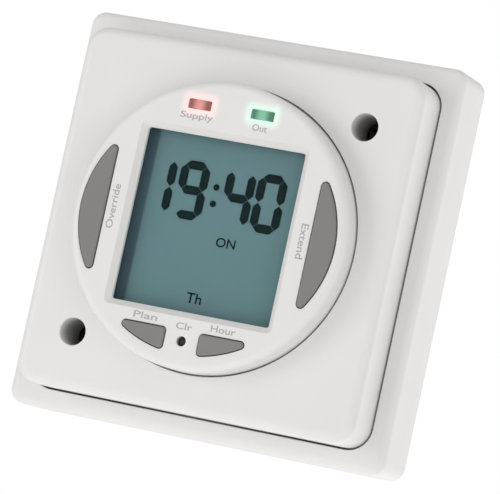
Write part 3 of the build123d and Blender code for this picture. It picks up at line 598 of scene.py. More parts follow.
def clear(name, colour, alpha, roughness=0.04):
    """Clear plastic or glass that lets the light straight through."""
    made = Finish(name, colour, roughness, Alpha=alpha)
    made.shader.inputs["IOR"].default_value = 1.49
    made.rough(made.noise(9 * MM), roughness, roughness + 0.03)
    made.grain(made.noise(5 * MM), 0.003 * MM, 0.15)
    made.material.surface_render_method = "BLENDED"
    return made


def lamp_finish(name, node, core, glow, power):
    """A diffused lamp, bright over its chip in the middle and deeper in colour at both ends."""
    made = Finish(name, core, 0.25)
    spot = made.near_box(middle(node), (0.25 * MM, 1.0 * MM), 1.7 * MM)
    made.coat(made.ramp(spot, ((0.0, core), (1.0, glow))))
    made.coat(made.ramp(spot, ((0.0, tuple(0.10 * c for c in core)), (1.0, tuple(0.35 * c for c in glow)))),
              "Emission Color")
    made.shader.inputs["Emission Strength"].default_value = power
    made.grain(made.noise(0.3 * MM), 0.01 * MM, 0.5)
    return made


RED_CORE, RED_GLOW = (0.27, 0.095, 0.085), (0.58, 0.24, 0.22)
GREEN_CORE, GREEN_GLOW = (0.065, 0.20, 0.125), (0.17, 0.42, 0.28)
RED_HALO, GREEN_HALO = (0.42, 0.10, 0.09), (0.07, 0.30, 0.19)


def shaded_holes(made, places, radius, face, reach):
    """Darkens the walls of deep round holes, from just under the face to this reach below it."""
    near = 0.0
    for centre in places:
        inside = made.near_box(centre, (0.0, 0.0), radius * 1.04)
        near = made.maths("MAXIMUM", near, made.maths("GREATER_THAN", inside, 0.0001))
    split = made.feed(made.node("ShaderNodeSeparateXYZ"), Vector=made.place)
    below = made.feed(made.node("ShaderNodeMapRange", interpolation_type="SMOOTHSTEP"),
                      From_Min=-face + 0.15 * MM, From_Max=-face + reach, Value=split.outputs["Y"])
    both = made.maths("MULTIPLY", near, below.outputs["Result"])
    made.coat(made.blend(both, made.shader.inputs["Base Color"].links[0].from_socket, WELL_SHADE))


def fascia_finish():
    """The white of the fascia, with the lamps' light spread in the plastic round them."""
    made = moulded("fascia white", tuple(settings("housing").colour), 0.40)
    shaded_holes(made, [middle("reset_pin")], 1.15 * MM, depth_of("dial_fascia"), 0.5 * MM)
    half = (half_width("red_lamp"), half_height("red_lamp"))
    total = (0.0, 0.0, 0.0, 1.0)
    for node, halo in (("red_lamp", RED_HALO), ("green_lamp", GREEN_HALO)):
        near = made.near_box(middle(node), half, 2.3 * MM)
        light = made.ramp(near, ((0.0, (0.0, 0.0, 0.0)), (1.0, halo)))
        total = made.blend(1.0, total, light, blend_type="ADD")
    made.coat(total, "Emission Color")
    made.shader.inputs["Emission Strength"].default_value = 1.0
    return made.material


def display_finish():
    """The display's film: teal with faint clouds, darker in a strip along its left and top edges."""
    show = settings("display")
    colour = tuple(show.colour)
    made = Finish("display film", colour, 0.45, Specular_IOR_Level=0.1)
    low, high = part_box("lcd_front_glass")
    made.grain(made.noise(0.15 * MM), 0.004 * MM, 0.3)
    reach = 20 * MM
    centre = (low.x + show.shade + reach, high.z - 1.1 * MM - reach)
    lit = made.near_box(centre, (reach, reach), 0.9 * MM)
    dark = (0.50 * colour[0], 0.45 * colour[1], 0.54 * colour[2])
    blue = (colour[0] * 1.04, colour[1] * 0.99, colour[2] * 1.04)
    clouds = made.ramp(made.noise(16 * MM, 1.0), ((0.35, colour), (0.65, blue)))
    made.coat(made.blend(lit, (*dark, 1.0), clouds))
    return made


def paint(node, finish):
    """Gives a CAD node its finish."""
    piece = frame["nodes"][node]
    piece.data.materials.clear()
    piece.data.materials.append(finish.material)


# ---------------------------------------------------------------- housing operators


class SWITCH_OT_wall_box(bpy.types.Operator):
    """Makes the wall box, with its rim, posts, fixing slots and cable entry"""

    bl_idname = "switch.wall_box"
    bl_label = "Wall box"

    def execute(self, context):
        sizes = settings("housing")
        half = half_width("back_box")
        depth = depth_of("back_box")
        floor = sizes.box_wall
        mouth = half_width("front_cover") + sizes.cover_gap
        room = half - sizes.box_wall
        under_rim = depth - sizes.rim
        mould = Mould()

        def outside(inset):
            return rounded_box(half - inset, half - inset, sizes.box_corner - inset)

        def opening(inset):
            return rounded_box(mouth - inset, mouth - inset, sizes.cover_corner + sizes.cover_gap - inset)

        front = mould.lip(outside, depth, sizes.box_edge)
        back_edge = mould.ring(outside(0.25 * MM), 0.0)
        hard = mould.ring(outside(0.0), 0.25 * MM)
        ledge_rings = mould.lip(opening, depth, 0.2 * MM, -1, 3)
        flat_half = half - sizes.box_edge - 0.2 * MM
        flat = mould.ring(rounded_box(flat_half, flat_half, sizes.box_corner), depth)
        mould.skin(back_edge, hard, *front)
        mould.plate(front[-1], flat)
        mould.plate(flat, ledge_rings[-1])
        foot = mould.ring(opening(0.0), under_rim)
        mould.skin(*reversed(ledge_rings), foot)
        shelf, bottom = mould.tube(rounded_box(room, room, sizes.box_corner), under_rim, floor)
        mould.plate(shelf, foot)

        floor_holes, back_holes = [], []
        for outline in self.holes(frame["record"]):
            inner, outer = mould.tube(outline, floor, 0.0)
            floor_holes.append(inner)
            back_holes.append(outer)
        for centre, radius, bore, end, top in self.posts():
            base, crown = mould.tube(circle(radius, centre), floor, top)
            eye, pit = mould.tube(circle(bore, centre), top, end)
            mould.plate(crown, eye)
            mould.plate(pit)
            floor_holes.append(base)
        quiet = mould.ring(rounded_box(room - 0.7 * MM, room - 0.7 * MM, sizes.box_corner), floor)
        mould.plate(bottom, quiet)
        mould.plate(quiet, *floor_holes)
        mould.plate(back_edge, *back_holes)
        finish = moulded("box white", tuple(sizes.colour), 0.44)
        mould.piece("wall_box", finish.material, "housing", ("back_box",))
        return {"FINISHED"}

    @staticmethod
    def holes(record):
        """Outlines of the two fixing slots and the cable entry."""
        fixing = next(mount for mount in record["mounts"] if mount["name"] == "wall_fixings")["dims"]
        entry = next(box for box in record["physics"]["openings"] if box["name"] == "cable_entry")["box_m"]
        half_slot, radius = fixing["slot_length_mm"] * MM / 2, fixing["hole_r_mm"] * MM
        for side in (-1, 1):
            centre = (side * fixing["spacing_x_mm"] * MM / 2, 0.0)
            yield rounded_box(half_slot, radius, radius, centre)
        margin = 1.0 * MM
        half_w = (entry[1][0] - entry[0][0]) / 2 + 1.5 * margin
        half_h = (entry[1][2] - entry[0][2]) / 2 + margin
        yield rounded_box(half_w, half_h, 3 * margin, (0.0, (entry[0][2] + entry[1][2]) / 2))

    @staticmethod
    def posts():
        """Centre, radius, bore, and the depths of the bore's end and the top of each post."""
        for node, radius, bore, top in (
                ("board_screws", POST, POST_BORE, back_of("power_board")),
                ("cover_inserts", INSERT_POST, INSERT_BORE, depth_of("cover_inserts"))):
            for centre in screw_places(node):
                yield centre, radius, bore, back_of(node) - 0.03 * MM, top


class SWITCH_OT_cover(bpy.types.Operator):
    """Makes the square front cover with its two deep screw holes"""

    bl_idname = "switch.cover"
    bl_label = "Front cover"

    def execute(self, context):
        sizes = settings("housing")
        half = half_width("front_cover")
        face = depth_of("front_cover")
        inner = face - sizes.cover_wall
        skirt = depth_of("back_box") - sizes.skirt_overlap
        room = half - sizes.cover_wall
        seat = depth_of("cover_screws") - WELL_SEAT
        tube_end = depth_of("cover_inserts")
        board = depth_of("display_board")
        pit_end = depth_of("display_screws") + 0.05 * MM
        opening = sizes.fascia_radius + sizes.fascia_gap
        mould = Mould()

        def outside(inset):
            return rounded_box(half - inset, half - inset, sizes.cover_corner - inset, steps=12)

        def dial(inset):
            return circle(opening - inset, steps=144)

        front = mould.lip(outside, face, sizes.cover_edge, steps=8)
        lower = mould.ring(outside(0.0), skirt)
        mould.skin(lower, *front)
        flat_half = half - sizes.cover_edge - 0.25 * MM
        flat_corner = sizes.cover_corner - sizes.cover_edge
        flat = mould.ring(rounded_box(flat_half, flat_half, flat_corner, steps=12), face)
        mould.plate(front[-1], flat)
        dial_lip = mould.lip(dial, face, 0.15 * MM, -1, 3)
        dial_back = mould.ring(dial(0.0), inner)
        mould.skin(*reversed(dial_lip), dial_back)
        front_holes, back_holes = [dial_lip[-1]], [dial_back]
        for centre in screw_places("cover_screws"):
            def well(inset, centre=centre):
                return circle(sizes.hole_radius - inset, centre, 40)

            mouth = mould.lip(well, face, 0.3 * MM, -1, 4)
            floor = mould.ring(well(0.0), seat)
            eye, end = mould.tube(circle(WELL_BORE, centre, 40), seat, tube_end)
            tube = circle(sizes.hole_radius + sizes.hole_wall, centre, 40)
            tube_foot, tube_root = mould.tube(tube, tube_end, inner)
            mould.skin(*reversed(mouth), floor)
            mould.plate(floor, eye)
            mould.plate(tube_foot, end)
            front_holes.append(mouth[-1])
            back_holes.append(tube_root)
        for centre in screw_places("display_screws"):
            root, crown = mould.tube(circle(BOSS, centre, 24), inner, board)
            eye, pit = mould.tube(circle(BOSS_BORE, centre, 24), board, pit_end)
            mould.plate(crown, eye)
            mould.plate(pit)
            back_holes.append(root)
        mould.plate(flat, *front_holes)
        inside = rounded_box(room, room, sizes.cover_corner - sizes.cover_wall, steps=12)
        ceiling, hem = mould.tube(inside, inner, skirt)
        mould.plate(ceiling, *back_holes)
        mould.plate(lower, hem)
        finish = moulded("cover white", tuple(sizes.colour), 0.42)
        shaded_holes(finish, screw_places("cover_screws"), sizes.hole_radius, face, 5.0 * MM)
        mould.piece("cover_shell", finish.material, "housing", ("front_cover",))
        return {"FINISHED"}


class SWITCH_OT_fascia(bpy.types.Operator):
    """Makes the round fascia with the bevelled window and the openings of the keys and lamps"""

    bl_idname = "switch.fascia"
    bl_label = "Fascia"

    def execute(self, context):
        sizes, keys, window = settings("housing"), settings("keys"), settings("display")
        face = depth_of("dial_fascia")
        inner = face - sizes.fascia_front
        back = back_of("dial_fascia")
        radius = sizes.fascia_radius
        skirt = radius - sizes.fascia_skirt
        mould = Mould()

        def outside(inset):
            return circle(radius - inset, steps=160)

        front = mould.lip(outside, face, sizes.fascia_edge, steps=8)
        rim, rim_front = mould.tube(circle(half_width("dial_fascia"), steps=160), back, back + sizes.flange)
        root = mould.ring(outside(0.0), back + sizes.flange)
        mould.plate(rim_front, root)
        mould.skin(root, *front)
        flat = mould.ring(outside(sizes.fascia_edge + 0.08 * MM), face)
        mould.plate(front[-1], flat)

        half_w, half_h, bevel = window.window_width / 2, window.window_height / 2, window.bevel
        outer_ring = mould.ring(rounded_box(half_w + bevel, half_h + bevel, bevel, steps=6), face)
        turn_ring = mould.ring(rounded_box(half_w, half_h, window.window_corner, steps=6), face - bevel)
        inner_ring = mould.ring(rounded_box(half_w, half_h, window.window_corner, steps=6), inner)
        mould.skin(outer_ring, turn_ring, inner_ring)
        front_holes, back_holes = [outer_ring], [inner_ring]

        outlines = []
        for side in (-1, 1):
            outlines.append(lambda inset, side=side: side_key(side, keys.gap - inset))
            outlines.append(lambda inset, side=side: lower_key(side, keys.gap - inset))
        for node in ("red_lamp", "green_lamp"):
            half = (half_width(node) + 0.1 * MM, half_height(node) + 0.1 * MM)
            outlines.append(lambda inset, half=half, centre=middle(node): rounded_box(
                half[0] - inset, half[1] - inset, 0.12 * MM - inset, centre, 3))
        outlines.append(lambda inset: circle(PIN_HOLE - inset, middle("reset_pin"), 28))
        for outline in outlines:
            mouth = mould.lip(outline, face, 0.1 * MM, -1, 2)
            foot = mould.ring(outline(0.0), inner)
            mould.skin(*reversed(mouth), foot)
            front_holes.append(mouth[-1])
            back_holes.append(foot)
        mould.plate(flat, *front_holes)
        ceiling, hem = mould.tube(circle(skirt, steps=160), inner, back)
        mould.plate(ceiling, *back_holes)
        mould.plate(rim, hem)
        mould.piece("fascia_shell", fascia_finish(), "housing", ("dial_fascia",))
        return {"FINISHED"}


# ---------------------------------------------------------------- keys, lamps and window operators


class SWITCH_OT_keys(bpy.types.Operator):
    """Makes the four push keys and the reset pin"""

    bl_idname = "switch.keys"
    bl_label = "Keys"

    def execute(self, context):
        keys = settings("keys")
        finish = moulded("key grey", tuple(keys.colour), 0.52, 0.3 * MM, 0.02 * MM, 0.03)
        behind = depth_of("dial_fascia") - settings("housing").fascia_front - 0.1 * MM
        for node, outline, side in (("left_key", side_key, -1), ("right_key", side_key, 1),
                                    ("program_key", lower_key, -1), ("clock_key", lower_key, 1)):
            self.key(node, lambda grow, outline=outline, side=side: outline(side, grow),
                     behind, finish.material)
        black = moulded("reset black", (0.01, 0.01, 0.01), 0.5)
        centre = middle("reset_pin")
        mould = Mould()
        collar, crown = mould.tube(circle(PIN_COLLAR, centre, 32), back_of("reset_pin"), behind)
        root = mould.ring(circle(PIN, centre, 32), behind)
        tip = mould.lip(lambda inset: circle(PIN - inset, centre, 32), depth_of("reset_pin"), 0.3 * MM)
        mould.plate(collar)
        mould.plate(crown, root)
        mould.skin(root, *tip)
        mould.plate(tip[-1])
        mould.piece("reset_plunger_tip", black.material, "reset_pin", ("reset_pin",))
        return {"FINISHED"}

    @staticmethod
    def key(node, outline, behind, finish):
        """One key: a flange behind the fascia and a cap with a rounded edge."""
        keys, sizes = settings("keys"), settings("housing")
        reach = sizes.fascia_radius - sizes.fascia_skirt - 0.3 * MM
        wide = []
        for x, z in outline(keys.lip):
            shrink = min(1.0, reach / math.hypot(x, z))
            wide.append((x * shrink, z * shrink))
        mould = Mould()
        base, shelf = mould.tube(wide, back_of(node), behind)
        root = mould.ring(outline(0.0), behind)
        cap = mould.lip(lambda inset: outline(-inset), depth_of(node), keys.edge, 1, 5)
        flat = mould.ring(outline(-keys.edge - 0.12 * MM), depth_of(node))
        mould.plate(base)
        mould.skin(shelf, root, *cap, flat)
        mould.plate(flat)
        mould.piece(node + "_cap", finish, node, (node,))


class SWITCH_OT_lamps(bpy.types.Operator):
    """Makes the red and the green indicator lamp"""

    bl_idname = "switch.lamps"
    bl_label = "Lamps"

    def execute(self, context):
        for node, core, glow in (("red_lamp", RED_CORE, RED_GLOW), ("green_lamp", GREEN_CORE, GREEN_GLOW)):
            finish = lamp_finish(node.replace("_", " "), node, core, glow, 1.0)
            centre, top = middle(node), depth_of(node)
            half = (half_width(node), half_height(node))

            def body(inset, half=half, centre=centre):
                return rounded_box(half[0] - inset, half[1] - inset, 0.2 * MM, centre, 4)

            mould = Mould()
            foot = mould.ring(body(0.0), top - LAMP_BODY)
            dome = mould.lip(body, top, 0.25 * MM)
            mould.skin(foot, *dome)
            mould.plate(dome[-1])
            holes = []
            for side in (-1, 1):
                lead = circle(LEAD, (centre[0] + side * LEAD_SPREAD, centre[1]), 12)
                above, below = mould.tube(lead, top - LAMP_BODY, back_of(node))
                mould.plate(below)
                holes.append(above)
            mould.plate(foot, *holes)
            mould.piece(node + "_body", finish.material, "housing", (node,))
        return {"FINISHED"}


class SWITCH_OT_window(bpy.types.Operator):
    """Makes the clear lens and the display's film, and finishes the display's glasses"""

    bl_idname = "switch.window"
    bl_label = "Window"

    def execute(self, context):
        half_w, half_h = half_width("lcd_window"), half_height("lcd_window")

        def sheet(inset):
            return rounded_box(half_w - inset, half_h - inset, 0.5 * MM, steps=4)

        mould = Mould()
        front = mould.lip(sheet, depth_of("lcd_window"), 0.15 * MM)
        back = mould.ring(sheet(0.0), back_of("lcd_window"))
        mould.skin(back, *front)
        mould.plate(back)
        mould.plate(front[-1])
        lens = clear("window lens", (0.05, 0.08, 0.08), 0.05)
        mould.piece("window_lens", lens.material, "housing", ("lcd_window",))
        paint("lcd_front_glass", clear("display glass", (0.04, 0.07, 0.07), 0.04))
        film = display_finish()
        paint("lcd_rear_glass", film)
        level = depth_of("lcd_rear_glass")
        mould = Mould()
        for ring in mould.tube(sheet(0.05 * MM), level + 0.02 * MM, level + 0.06 * MM):
            mould.plate(ring)
        mould.piece("display_film", film.material, "housing", slot="lcd_glass")
        return {"FINISHED"}


SEGMENTS = {
    "0": "abcdef", "1": "bc", "2": "abged", "3": "abgcd", "4": "fgbc",
    "5": "afgcd", "6": "afgedc", "7": "abc", "8": "abcdefg", "9": "abcdfg",
}


class SWITCH_OT_digits(bpy.types.Operator):
    """Makes the segments that the display shows, the two dots and the small words"""

    bl_idname = "switch.digits"
    bl_label = "Digits"

    def execute(self, context):
        show = settings("display")
        ink = Finish("display ink", (0.002, 0.012, 0.014), 0.6, Specular_IOR_Level=0.05)
        ink.mottle((0.002, 0.012, 0.014), ink.noise(0.8 * MM), 0.25)
        level = depth_of("lcd_rear_glass") + 0.1 * MM
        mould = Mould()
        for digit, left in zip(show.digits, DIGIT_STARTS):
            for letter in SEGMENTS[digit]:
                self.bar(mould, self.segment(letter, left), level)
        for height in DOT_HEIGHTS:
            self.bar(mould, circle(DOT, (DOT_X, height), 16), level)
        mould.piece("display_digits", ink.material, "housing", slot="lcd_glass")
        for name, words, centre, width, height in (
                ("display_state", "ON", (3.45 * MM, -2.6 * MM), 4.3 * MM, 2.0 * MM),
                ("display_day", "Th", (-0.85 * MM, -15.0 * MM), 3.4 * MM, 2.2 * MM)):
            lettering(name, words, centre, (width, height), level, ink.material, "lcd_glass")
        return {"FINISHED"}

    @staticmethod
    def segment(letter, left):
        """Outline of one segment of a digit, a bar with pointed ends."""
        show = settings("display")
        thick, gap = show.segment, 0.07 * MM
        tall, wide, base = show.digit_height, show.digit_width, show.digit_base
        half = (tall - thick) / 2
        upright = {"f": (0, 1), "b": (1, 1), "e": (0, 0), "c": (1, 0)}
        level = {"a": 2, "g": 1, "d": 0}
        t = thick / 2
        if letter in level:
            length = wide - thick - 2 * gap
            x, z = left + wide / 2, base + t + level[letter] * half
            h = length / 2
            return [(x + dx, z + dz) for dx, dz in
                    ((-h, 0), (-h + t, -t), (h - t, -t), (h, 0), (h - t, t), (-h + t, t))]
        column, row = upright[letter]
        x = left + t + column * (wide - thick)
        z = base + t + (row + 0.5) * half
        h = half / 2 - gap
        return [(x + dx, z + dz) for dx, dz in
                ((0, -h), (t, -h + t), (t, h - t), (0, h), (-t, h - t), (-t, -h + t))]

    @staticmethod
    def bar(mould, outline, level):
        """A thin flat bar of ink."""
        for ring in mould.tube(outline, level, level + 0.05 * MM):
            mould.plate(ring)


def lettering(name, words, centre, size, level, finish, slot, turn=0.0):
    """Plain lettering fitted to a width and a height, on a face at this depth."""
    curve = bpy.data.curves.new(name, "FONT")
    curve.body = words
    curve.extrude = 0.02
    curve.offset = 0.010
    curve.resolution_u = 4
    mesh = baked(stand(name, curve))
    bpy.data.curves.remove(curve)
    xs = [corner.co.x for corner in mesh.vertices]
    ys = [corner.co.y for corner in mesh.vertices]
    stretch = (size[0] / (max(xs) - min(xs)), size[1] / (max(ys) - min(ys)))
    hub = ((max(xs) + min(xs)) / 2, (max(ys) + min(ys)) / 2)
    cos, sin = math.cos(turn), math.sin(turn)
    for corner in mesh.vertices:
        x, z = (corner.co.x - hub[0]) * stretch[0], (corner.co.y - hub[1]) * stretch[1]
        lift = 0.02 * MM if corner.co.z > 0 else 0.0
        corner.co = (centre[0] + x * cos - z * sin, -level - lift, centre[1] + x * sin + z * cos)
    return dress(mesh, name, finish, "housing", slot=slot)


class SWITCH_OT_labels(bpy.types.Operator):
    """Prints plain words beside the keys and under the lamps"""

    bl_idname = "switch.labels"
    bl_label = "Labels"

    def execute(self, context):
        ink = Finish("label ink", (0.42, 0.42, 0.41), 0.5)
        ink.mottle((0.42, 0.42, 0.41), ink.noise(0.5 * MM), 0.08)
        level = depth_of("dial_fascia")
        upright = math.pi / 2
        for name, words, x, z, width, height, turn in (
                ("label_supply", "Supply", -7.2, 21.8, 7.3, 1.7, 0.0),
                ("label_out", "Out", 7.0, 21.7, 3.3, 1.4, 0.0),
                ("label_plan", "Plan", -8.9, -20.6, 5.4, 1.4, 0.0),
                ("label_clear", "Clr", 0.0, -21.3, 3.6, 1.4, 0.0),
                ("label_hour", "Hour", 8.6, -20.6, 5.5, 1.4, 0.0),
                ("label_override", "Override", -21.3, 0.5, 9.4, 1.6, upright),
                ("label_extend", "Extend", 21.3, 0.3, 7.3, 1.6, -upright)):
            size = (width * MM, height * MM)
            lettering(name, words, (x * MM, z * MM), size, level, ink.material, "grey_key", turn)
        return {"FINISHED"}


# ---------------------------------------------------------------- fasteners


def scatter_tree():
    """Geometry Nodes that stand a template on every point, each turned by a seeded angle."""
    tree = bpy.data.node_groups.new("stand on points", "GeometryNodeTree")
    for name, kind in (("Points", "NodeSocketGeometry"), ("Template", "NodeSocketObject"),
                       ("Size", "NodeSocketFloat"), ("Turn", "NodeSocketFloat"), ("Seed", "NodeSocketInt"),
                       ("Finish", "NodeSocketMaterial")):
        tree.interface.new_socket(name, in_out="INPUT", socket_type=kind)
    tree.interface.new_socket("Geometry", in_out="OUTPUT", socket_type="NodeSocketGeometry")
    nodes, links = tree.nodes, tree.links
    given, result = nodes.new("NodeGroupInput"), nodes.new("NodeGroupOutput")
    template = nodes.new("GeometryNodeObjectInfo")
    chance = nodes.new("FunctionNodeRandomValue")
    chance.data_type = "FLOAT"
    turned = nodes.new("ShaderNodeCombineXYZ")
    copies = nodes.new("GeometryNodeInstanceOnPoints")
    realize = nodes.new("GeometryNodeRealizeInstances")
    coat = nodes.new("GeometryNodeSetMaterial")
    for source, output, target, entry in (
            (given, "Template", template, "Object"), (given, "Seed", chance, "Seed"),
            (given, "Turn", chance, 3), (chance, 1, turned, "Y"), (given, "Points", copies, "Points"),
            (template, "Geometry", copies, "Instance"), (given, "Size", copies, "Scale"),
            (turned, "Vector", copies, "Rotation"), (copies, "Instances", realize, "Geometry"),
            (realize, "Geometry", coat, "Geometry"), (given, "Finish", coat, "Material"),
            (coat, "Geometry", result, "Geometry")):
        links.new(source.outputs[output], target.inputs[entry])
    return tree


def screw_template(head, height, shank, length, facing):
    """A pan screw with a cross recess; its seat is at depth 0 and facing is 1 for a head to the front."""
    mould = Mould()

    def rim(inset):
        return circle(head - inset, steps=36)

    seat = mould.ring(rim(0.0), 0.0)
    crown = mould.lip(rim, height, height / 3, steps=4)
    arms, narrow = 1.3 * head, 0.34 * head
    mouth = mould.ring(cross(arms, narrow), height)
    pit = mould.ring(cross(0.8 * arms, 0.7 * narrow), height / 2)
    mould.skin(seat, *crown)
    mould.plate(crown[-1], mouth)
    mould.skin(mouth, pit)
    mould.plate(pit)
    neck = mould.ring(circle(shank, steps=36), 0.0)
    mould.plate(seat, neck)
    turns = max(int(length / (0.5 * MM)), 2)
    rings = [neck]
    for step in range(1, 2 * turns):
        radius = shank if step % 2 else shank * 0.86
        rings.append(mould.ring(circle(radius, steps=36), -length * step / (2 * turns)))
    rings.append(mould.ring(circle(shank * 0.7, steps=36), -length))
    mould.skin(*rings)
    mould.plate(rings[-1])
    if facing < 0:
        bmesh.ops.scale(mould.mesh, vec=(1.0, -1.0, 1.0), verts=mould.mesh.verts)
    bmesh.ops.recalc_face_normals(mould.mesh, faces=mould.mesh.faces)
    mesh = bpy.data.meshes.new("screw template")
    mould.mesh.to_mesh(mesh)
    mould.mesh.free()
    return stand("screw_template", mesh)


class SWITCH_OT_screws(bpy.types.Operator):
    """Stands the cover, board and display screws in their holes"""

    bl_idname = "switch.screws"
    bl_label = "Screws"

    def execute(self, context):
        tree = scatter_tree()
        steel = metal("screw steel", (0.60, 0.60, 0.58), 0.30)
        black = metal("blackened steel", (0.05, 0.05, 0.052), 0.42)
        cover_seat = depth_of("cover_screws") - WELL_SEAT
        for seed, (node, seat, (head, height, shank), facing, finish) in enumerate((
                ("cover_screws", cover_seat, COVER_SCREW, 1, black),
                ("board_screws", depth_of("power_board"), BOARD_SCREW, 1, steel),
                ("display_screws", back_of("display_board"), DISPLAY_SCREW, -1, steel))):
            far_end = back_of(node) if facing > 0 else depth_of(node)
            template = screw_template(head, height, shank, abs(seat - far_end), facing)
            points = bpy.data.meshes.new(node + " points")
            points.from_pydata([(x, -seat, z) for x, z in screw_places(node)], [], [])
            holder = stand(node + "_points", points)
            scatter = holder.modifiers.new("stand on points", "NODES")
            scatter.node_group = tree
            for name, value in (("Template", template), ("Size", 1.0), ("Turn", math.pi),
                                ("Seed", seed + 3), ("Finish", finish.material)):
                scatter[tree.interface.items_tree[name].identifier] = value
            solid = baked(holder)
            bpy.data.objects.remove(template)
            dress(solid, node + "_set", finish.material, "housing", (node,))
        return {"FINISHED"}


# ---------------------------------------------------------------- inner parts


class SWITCH_OT_inner_parts(bpy.types.Operator):
    """Gives every part inside the housing its finish"""

    bl_idname = "switch.inner_parts"
    bl_label = "Inner parts"

    def execute(self, context):
        board = board_finish("board lacquer")
        black = moulded("black moulding", (0.018, 0.018, 0.02), 0.45)
        natural = moulded("natural moulding", (0.66, 0.65, 0.61), 0.5)
        steel = metal("bright steel", (0.62, 0.62, 0.60), 0.24)
        nickel = metal("nickel plate", (0.58, 0.55, 0.49), 0.32)
        brass = metal("rolled brass", (0.62, 0.42, 0.16), 0.30)
        copper = banded("copper winding", (0.46, 0.16, 0.06), (0.28, 0.08, 0.03), 0.25 * MM, "X", 0.5, 0.35)
        rubber = banded("contact rubber", (0.30, 0.30, 0.31), (0.02, 0.02, 0.02), 0.3 * MM, "X", 0.5, 0.7)
        diode = banded("diode glass", (0.015, 0.015, 0.016), (0.45, 0.45, 0.44), 8.0 * MM, "Z", 0.9, 0.25)
        resistor = banded("resistor coat", (0.25, 0.42, 0.52), (0.30, 0.10, 0.03), 1.6 * MM, "Z", 0.8, 0.3)
        sleeve = banded("can sleeve", (0.012, 0.015, 0.05), (0.55, 0.55, 0.52), 10.0 * MM, "X", 0.86, 0.25)
        foil = metal("reflector foil", (0.52, 0.58, 0.55), 0.42)
        relay = moulded("relay blue", (0.02, 0.07, 0.24), 0.25)
        finishes = {
            board: ("display_board", "power_board"),
            black: ("switch_bodies", "controller", "header_socket", "relay_base"),
            natural: ("left_plunger", "right_plunger", "program_plunger", "clock_plunger", "reset_plunger",
                      "lcd_holder", "header_pins"),
            steel: ("clock_crystal", "backup_cell", *(f"terminal_screw_{i}" for i in range(1, 5))),
            nickel: ("cell_clip", "relay_yoke", "relay_armature",
                     *(f"terminal_cage_{i}" for i in range(1, 5))),
            brass: ("terminal_bars", "relay_blade", "relay_fixed_contact", "cover_inserts"),
            copper: ("relay_coil",),
            rubber: ("contact_strips",),
            diode: ("diodes",),
            resistor: ("resistors",),
            sleeve: ("smoothing_capacitors",),
            foil: ("lcd_reflector",),
            relay: ("relay_cover",),
            moulded("terminal green", (0.02, 0.20, 0.09), 0.38): ("terminal_block",),
            moulded("capacitor yellow", (0.72, 0.46, 0.03), 0.3): ("dropper_capacitor",),
            moulded("varistor coat", (0.03, 0.10, 0.40), 0.2, 0.8 * MM, 0.03 * MM): ("varistor",),
        }
        for finish, nodes in finishes.items():
            for node in nodes:
                paint(node, finish)
        return {"FINISHED"}


# ---------------------------------------------------------------- stage


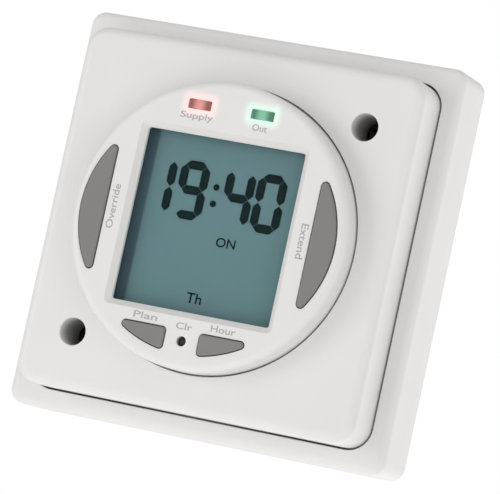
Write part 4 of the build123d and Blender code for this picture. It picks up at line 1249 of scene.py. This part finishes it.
class SWITCH_OT_stage(bpy.types.Operator):
    """Sets the floor, the lights, the sky and the camera"""

    bl_idname = "switch.stage"
    bl_label = "Stage"

    def execute(self, context):
        look = settings("stage")
        scene = context.scene
        scene.view_settings.view_transform = "Standard"
        self.sky(scene, look)
        self.floor()
        self.lights(look)
        self.camera(scene, look)
        return {"FINISHED"}

    @staticmethod
    def sky(scene, look):
        """White all round, seen at full strength and lighting at the chosen strength."""
        world = bpy.data.worlds.new("studio")
        world.use_nodes = True
        nodes, links = world.node_tree.nodes, world.node_tree.links
        back = nodes["Background"]
        back.inputs["Color"].default_value = (1.0, 1.0, 1.0, 1.0)
        path, pick = nodes.new("ShaderNodeLightPath"), nodes.new("ShaderNodeMapRange")
        pick.inputs["To Min"].default_value = look.sky
        pick.inputs["To Max"].default_value = 1.0
        links.new(path.outputs["Is Camera Ray"], pick.inputs["Value"])
        links.new(pick.outputs["Result"], back.inputs["Strength"])
        scene.world = world

    @staticmethod
    def floor():
        """A pale round floor well below the switch."""
        mould = Mould()
        low = CAD_BOX[0][2] - 1.0
        disc = mould.ring(circle(3.0, (0.0, 0.0), 96), 0.0)
        mould.plate(disc)
        for corner in mould.mesh.verts:
            corner.co = (corner.co.x, corner.co.z, low)
        mesh = bpy.data.meshes.new("floor")
        mould.mesh.to_mesh(mesh)
        mould.mesh.free()
        paper = Finish("floor paper", (0.90, 0.90, 0.89), 0.85, Emission_Strength=0.3)
        paper.shader.inputs["Emission Color"].default_value = (1.0, 1.0, 1.0, 1.0)
        paper.grain(paper.noise(1.2 * MM), 0.02 * MM, 0.3)
        mesh.materials.append(paper.material)
        stand("floor", mesh)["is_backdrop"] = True

    @staticmethod
    def lights(look):
        """A large soft light from the left, weaker ones from below and the right, and two for the sides."""
        aim = Vector((0.0, -look.aim_depth, 0.0))
        for name, place, size, power in (
                ("key", (-1.0, -1.05, 0.0), 0.7, look.key_light),
                ("below", (-0.25, -1.0, -0.9), 0.8, look.key_light * 0.30),
                ("fill", (1.0, -0.8, 0.15), 0.9, look.key_light * 0.6),
                ("side", (0.8, 0.7, 0.0), 0.9, look.edge_light),
                ("foot", (0.1, 0.7, -0.8), 0.9, look.edge_light * 0.8)):
            light = bpy.data.lights.new(name, "AREA")
            light.size = size
            light.energy = power
            lamp = stand(name, light)
            lamp.location = place
            lamp.rotation_euler = (aim - lamp.location).to_track_quat("-Z", "Y").to_euler()

    @staticmethod
    def camera(scene, look):
        """A long lens to the right of the switch, a little below it and turned about its axis."""
        aim = Vector((look.aim_x, -look.aim_depth, look.aim_z))
        away = Vector((math.sin(look.azimuth) * math.cos(look.elevation),
                       -math.cos(look.azimuth) * math.cos(look.elevation), math.sin(look.elevation)))
        data = bpy.data.cameras.new("camera")
        data.lens = look.lens
        camera = stand("camera", data)
        turn = away.to_track_quat("Z", "Y").to_matrix().to_4x4() @ Matrix.Rotation(-look.roll, 4, "Z")
        camera.matrix_world = Matrix.Translation(aim + away * look.distance) @ turn
        scene.camera = camera


class SWITCH_PT_panel(bpy.types.Panel):
    """Lists the settings and the operators"""

    bl_idname = "SWITCH_PT_panel"
    bl_label = "Time Switch"
    bl_space_type = "VIEW_3D"
    bl_region_type = "UI"
    bl_category = "Time Switch"

    def draw(self, context):
        for name, group in GROUPS.items():
            box = self.layout.box()
            box.label(text=name.title())
            for prop in group.__annotations__:
                box.prop(settings(name), prop)
        for operator in OPERATORS:
            self.layout.operator(operator.bl_idname)


GROUPS = {
    "housing": HousingSettings, "keys": KeySettings, "display": DisplaySettings, "stage": StageSettings,
}
OPERATORS = (
    SWITCH_OT_stage, SWITCH_OT_wall_box, SWITCH_OT_cover, SWITCH_OT_fascia, SWITCH_OT_keys, SWITCH_OT_lamps,
    SWITCH_OT_window, SWITCH_OT_digits, SWITCH_OT_labels, SWITCH_OT_screws, SWITCH_OT_inner_parts,
)
CLASSES = (*GROUPS.values(), *OPERATORS, SWITCH_PT_panel)


def register():
    for item in CLASSES:
        bpy.utils.register_class(item)
    for name, group in GROUPS.items():
        setattr(bpy.types.Scene, "switch_" + name, bpy.props.PointerProperty(type=group))


def unregister():
    for name in GROUPS:
        delattr(bpy.types.Scene, "switch_" + name)
    for item in reversed(CLASSES):
        bpy.utils.unregister_class(item)


def corners(box):
    """A box as plain lists of numbers."""
    return [[float(value) for value in corner] for corner in box]


def main():
    register()
    for operator in OPERATORS:
        group, name = operator.bl_idname.split(".")
        getattr(getattr(bpy.ops, group), name)()
    {"cad": corners(CAD_BOX), "visual": corners(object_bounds())}


if __name__ == "__main__":
    main()
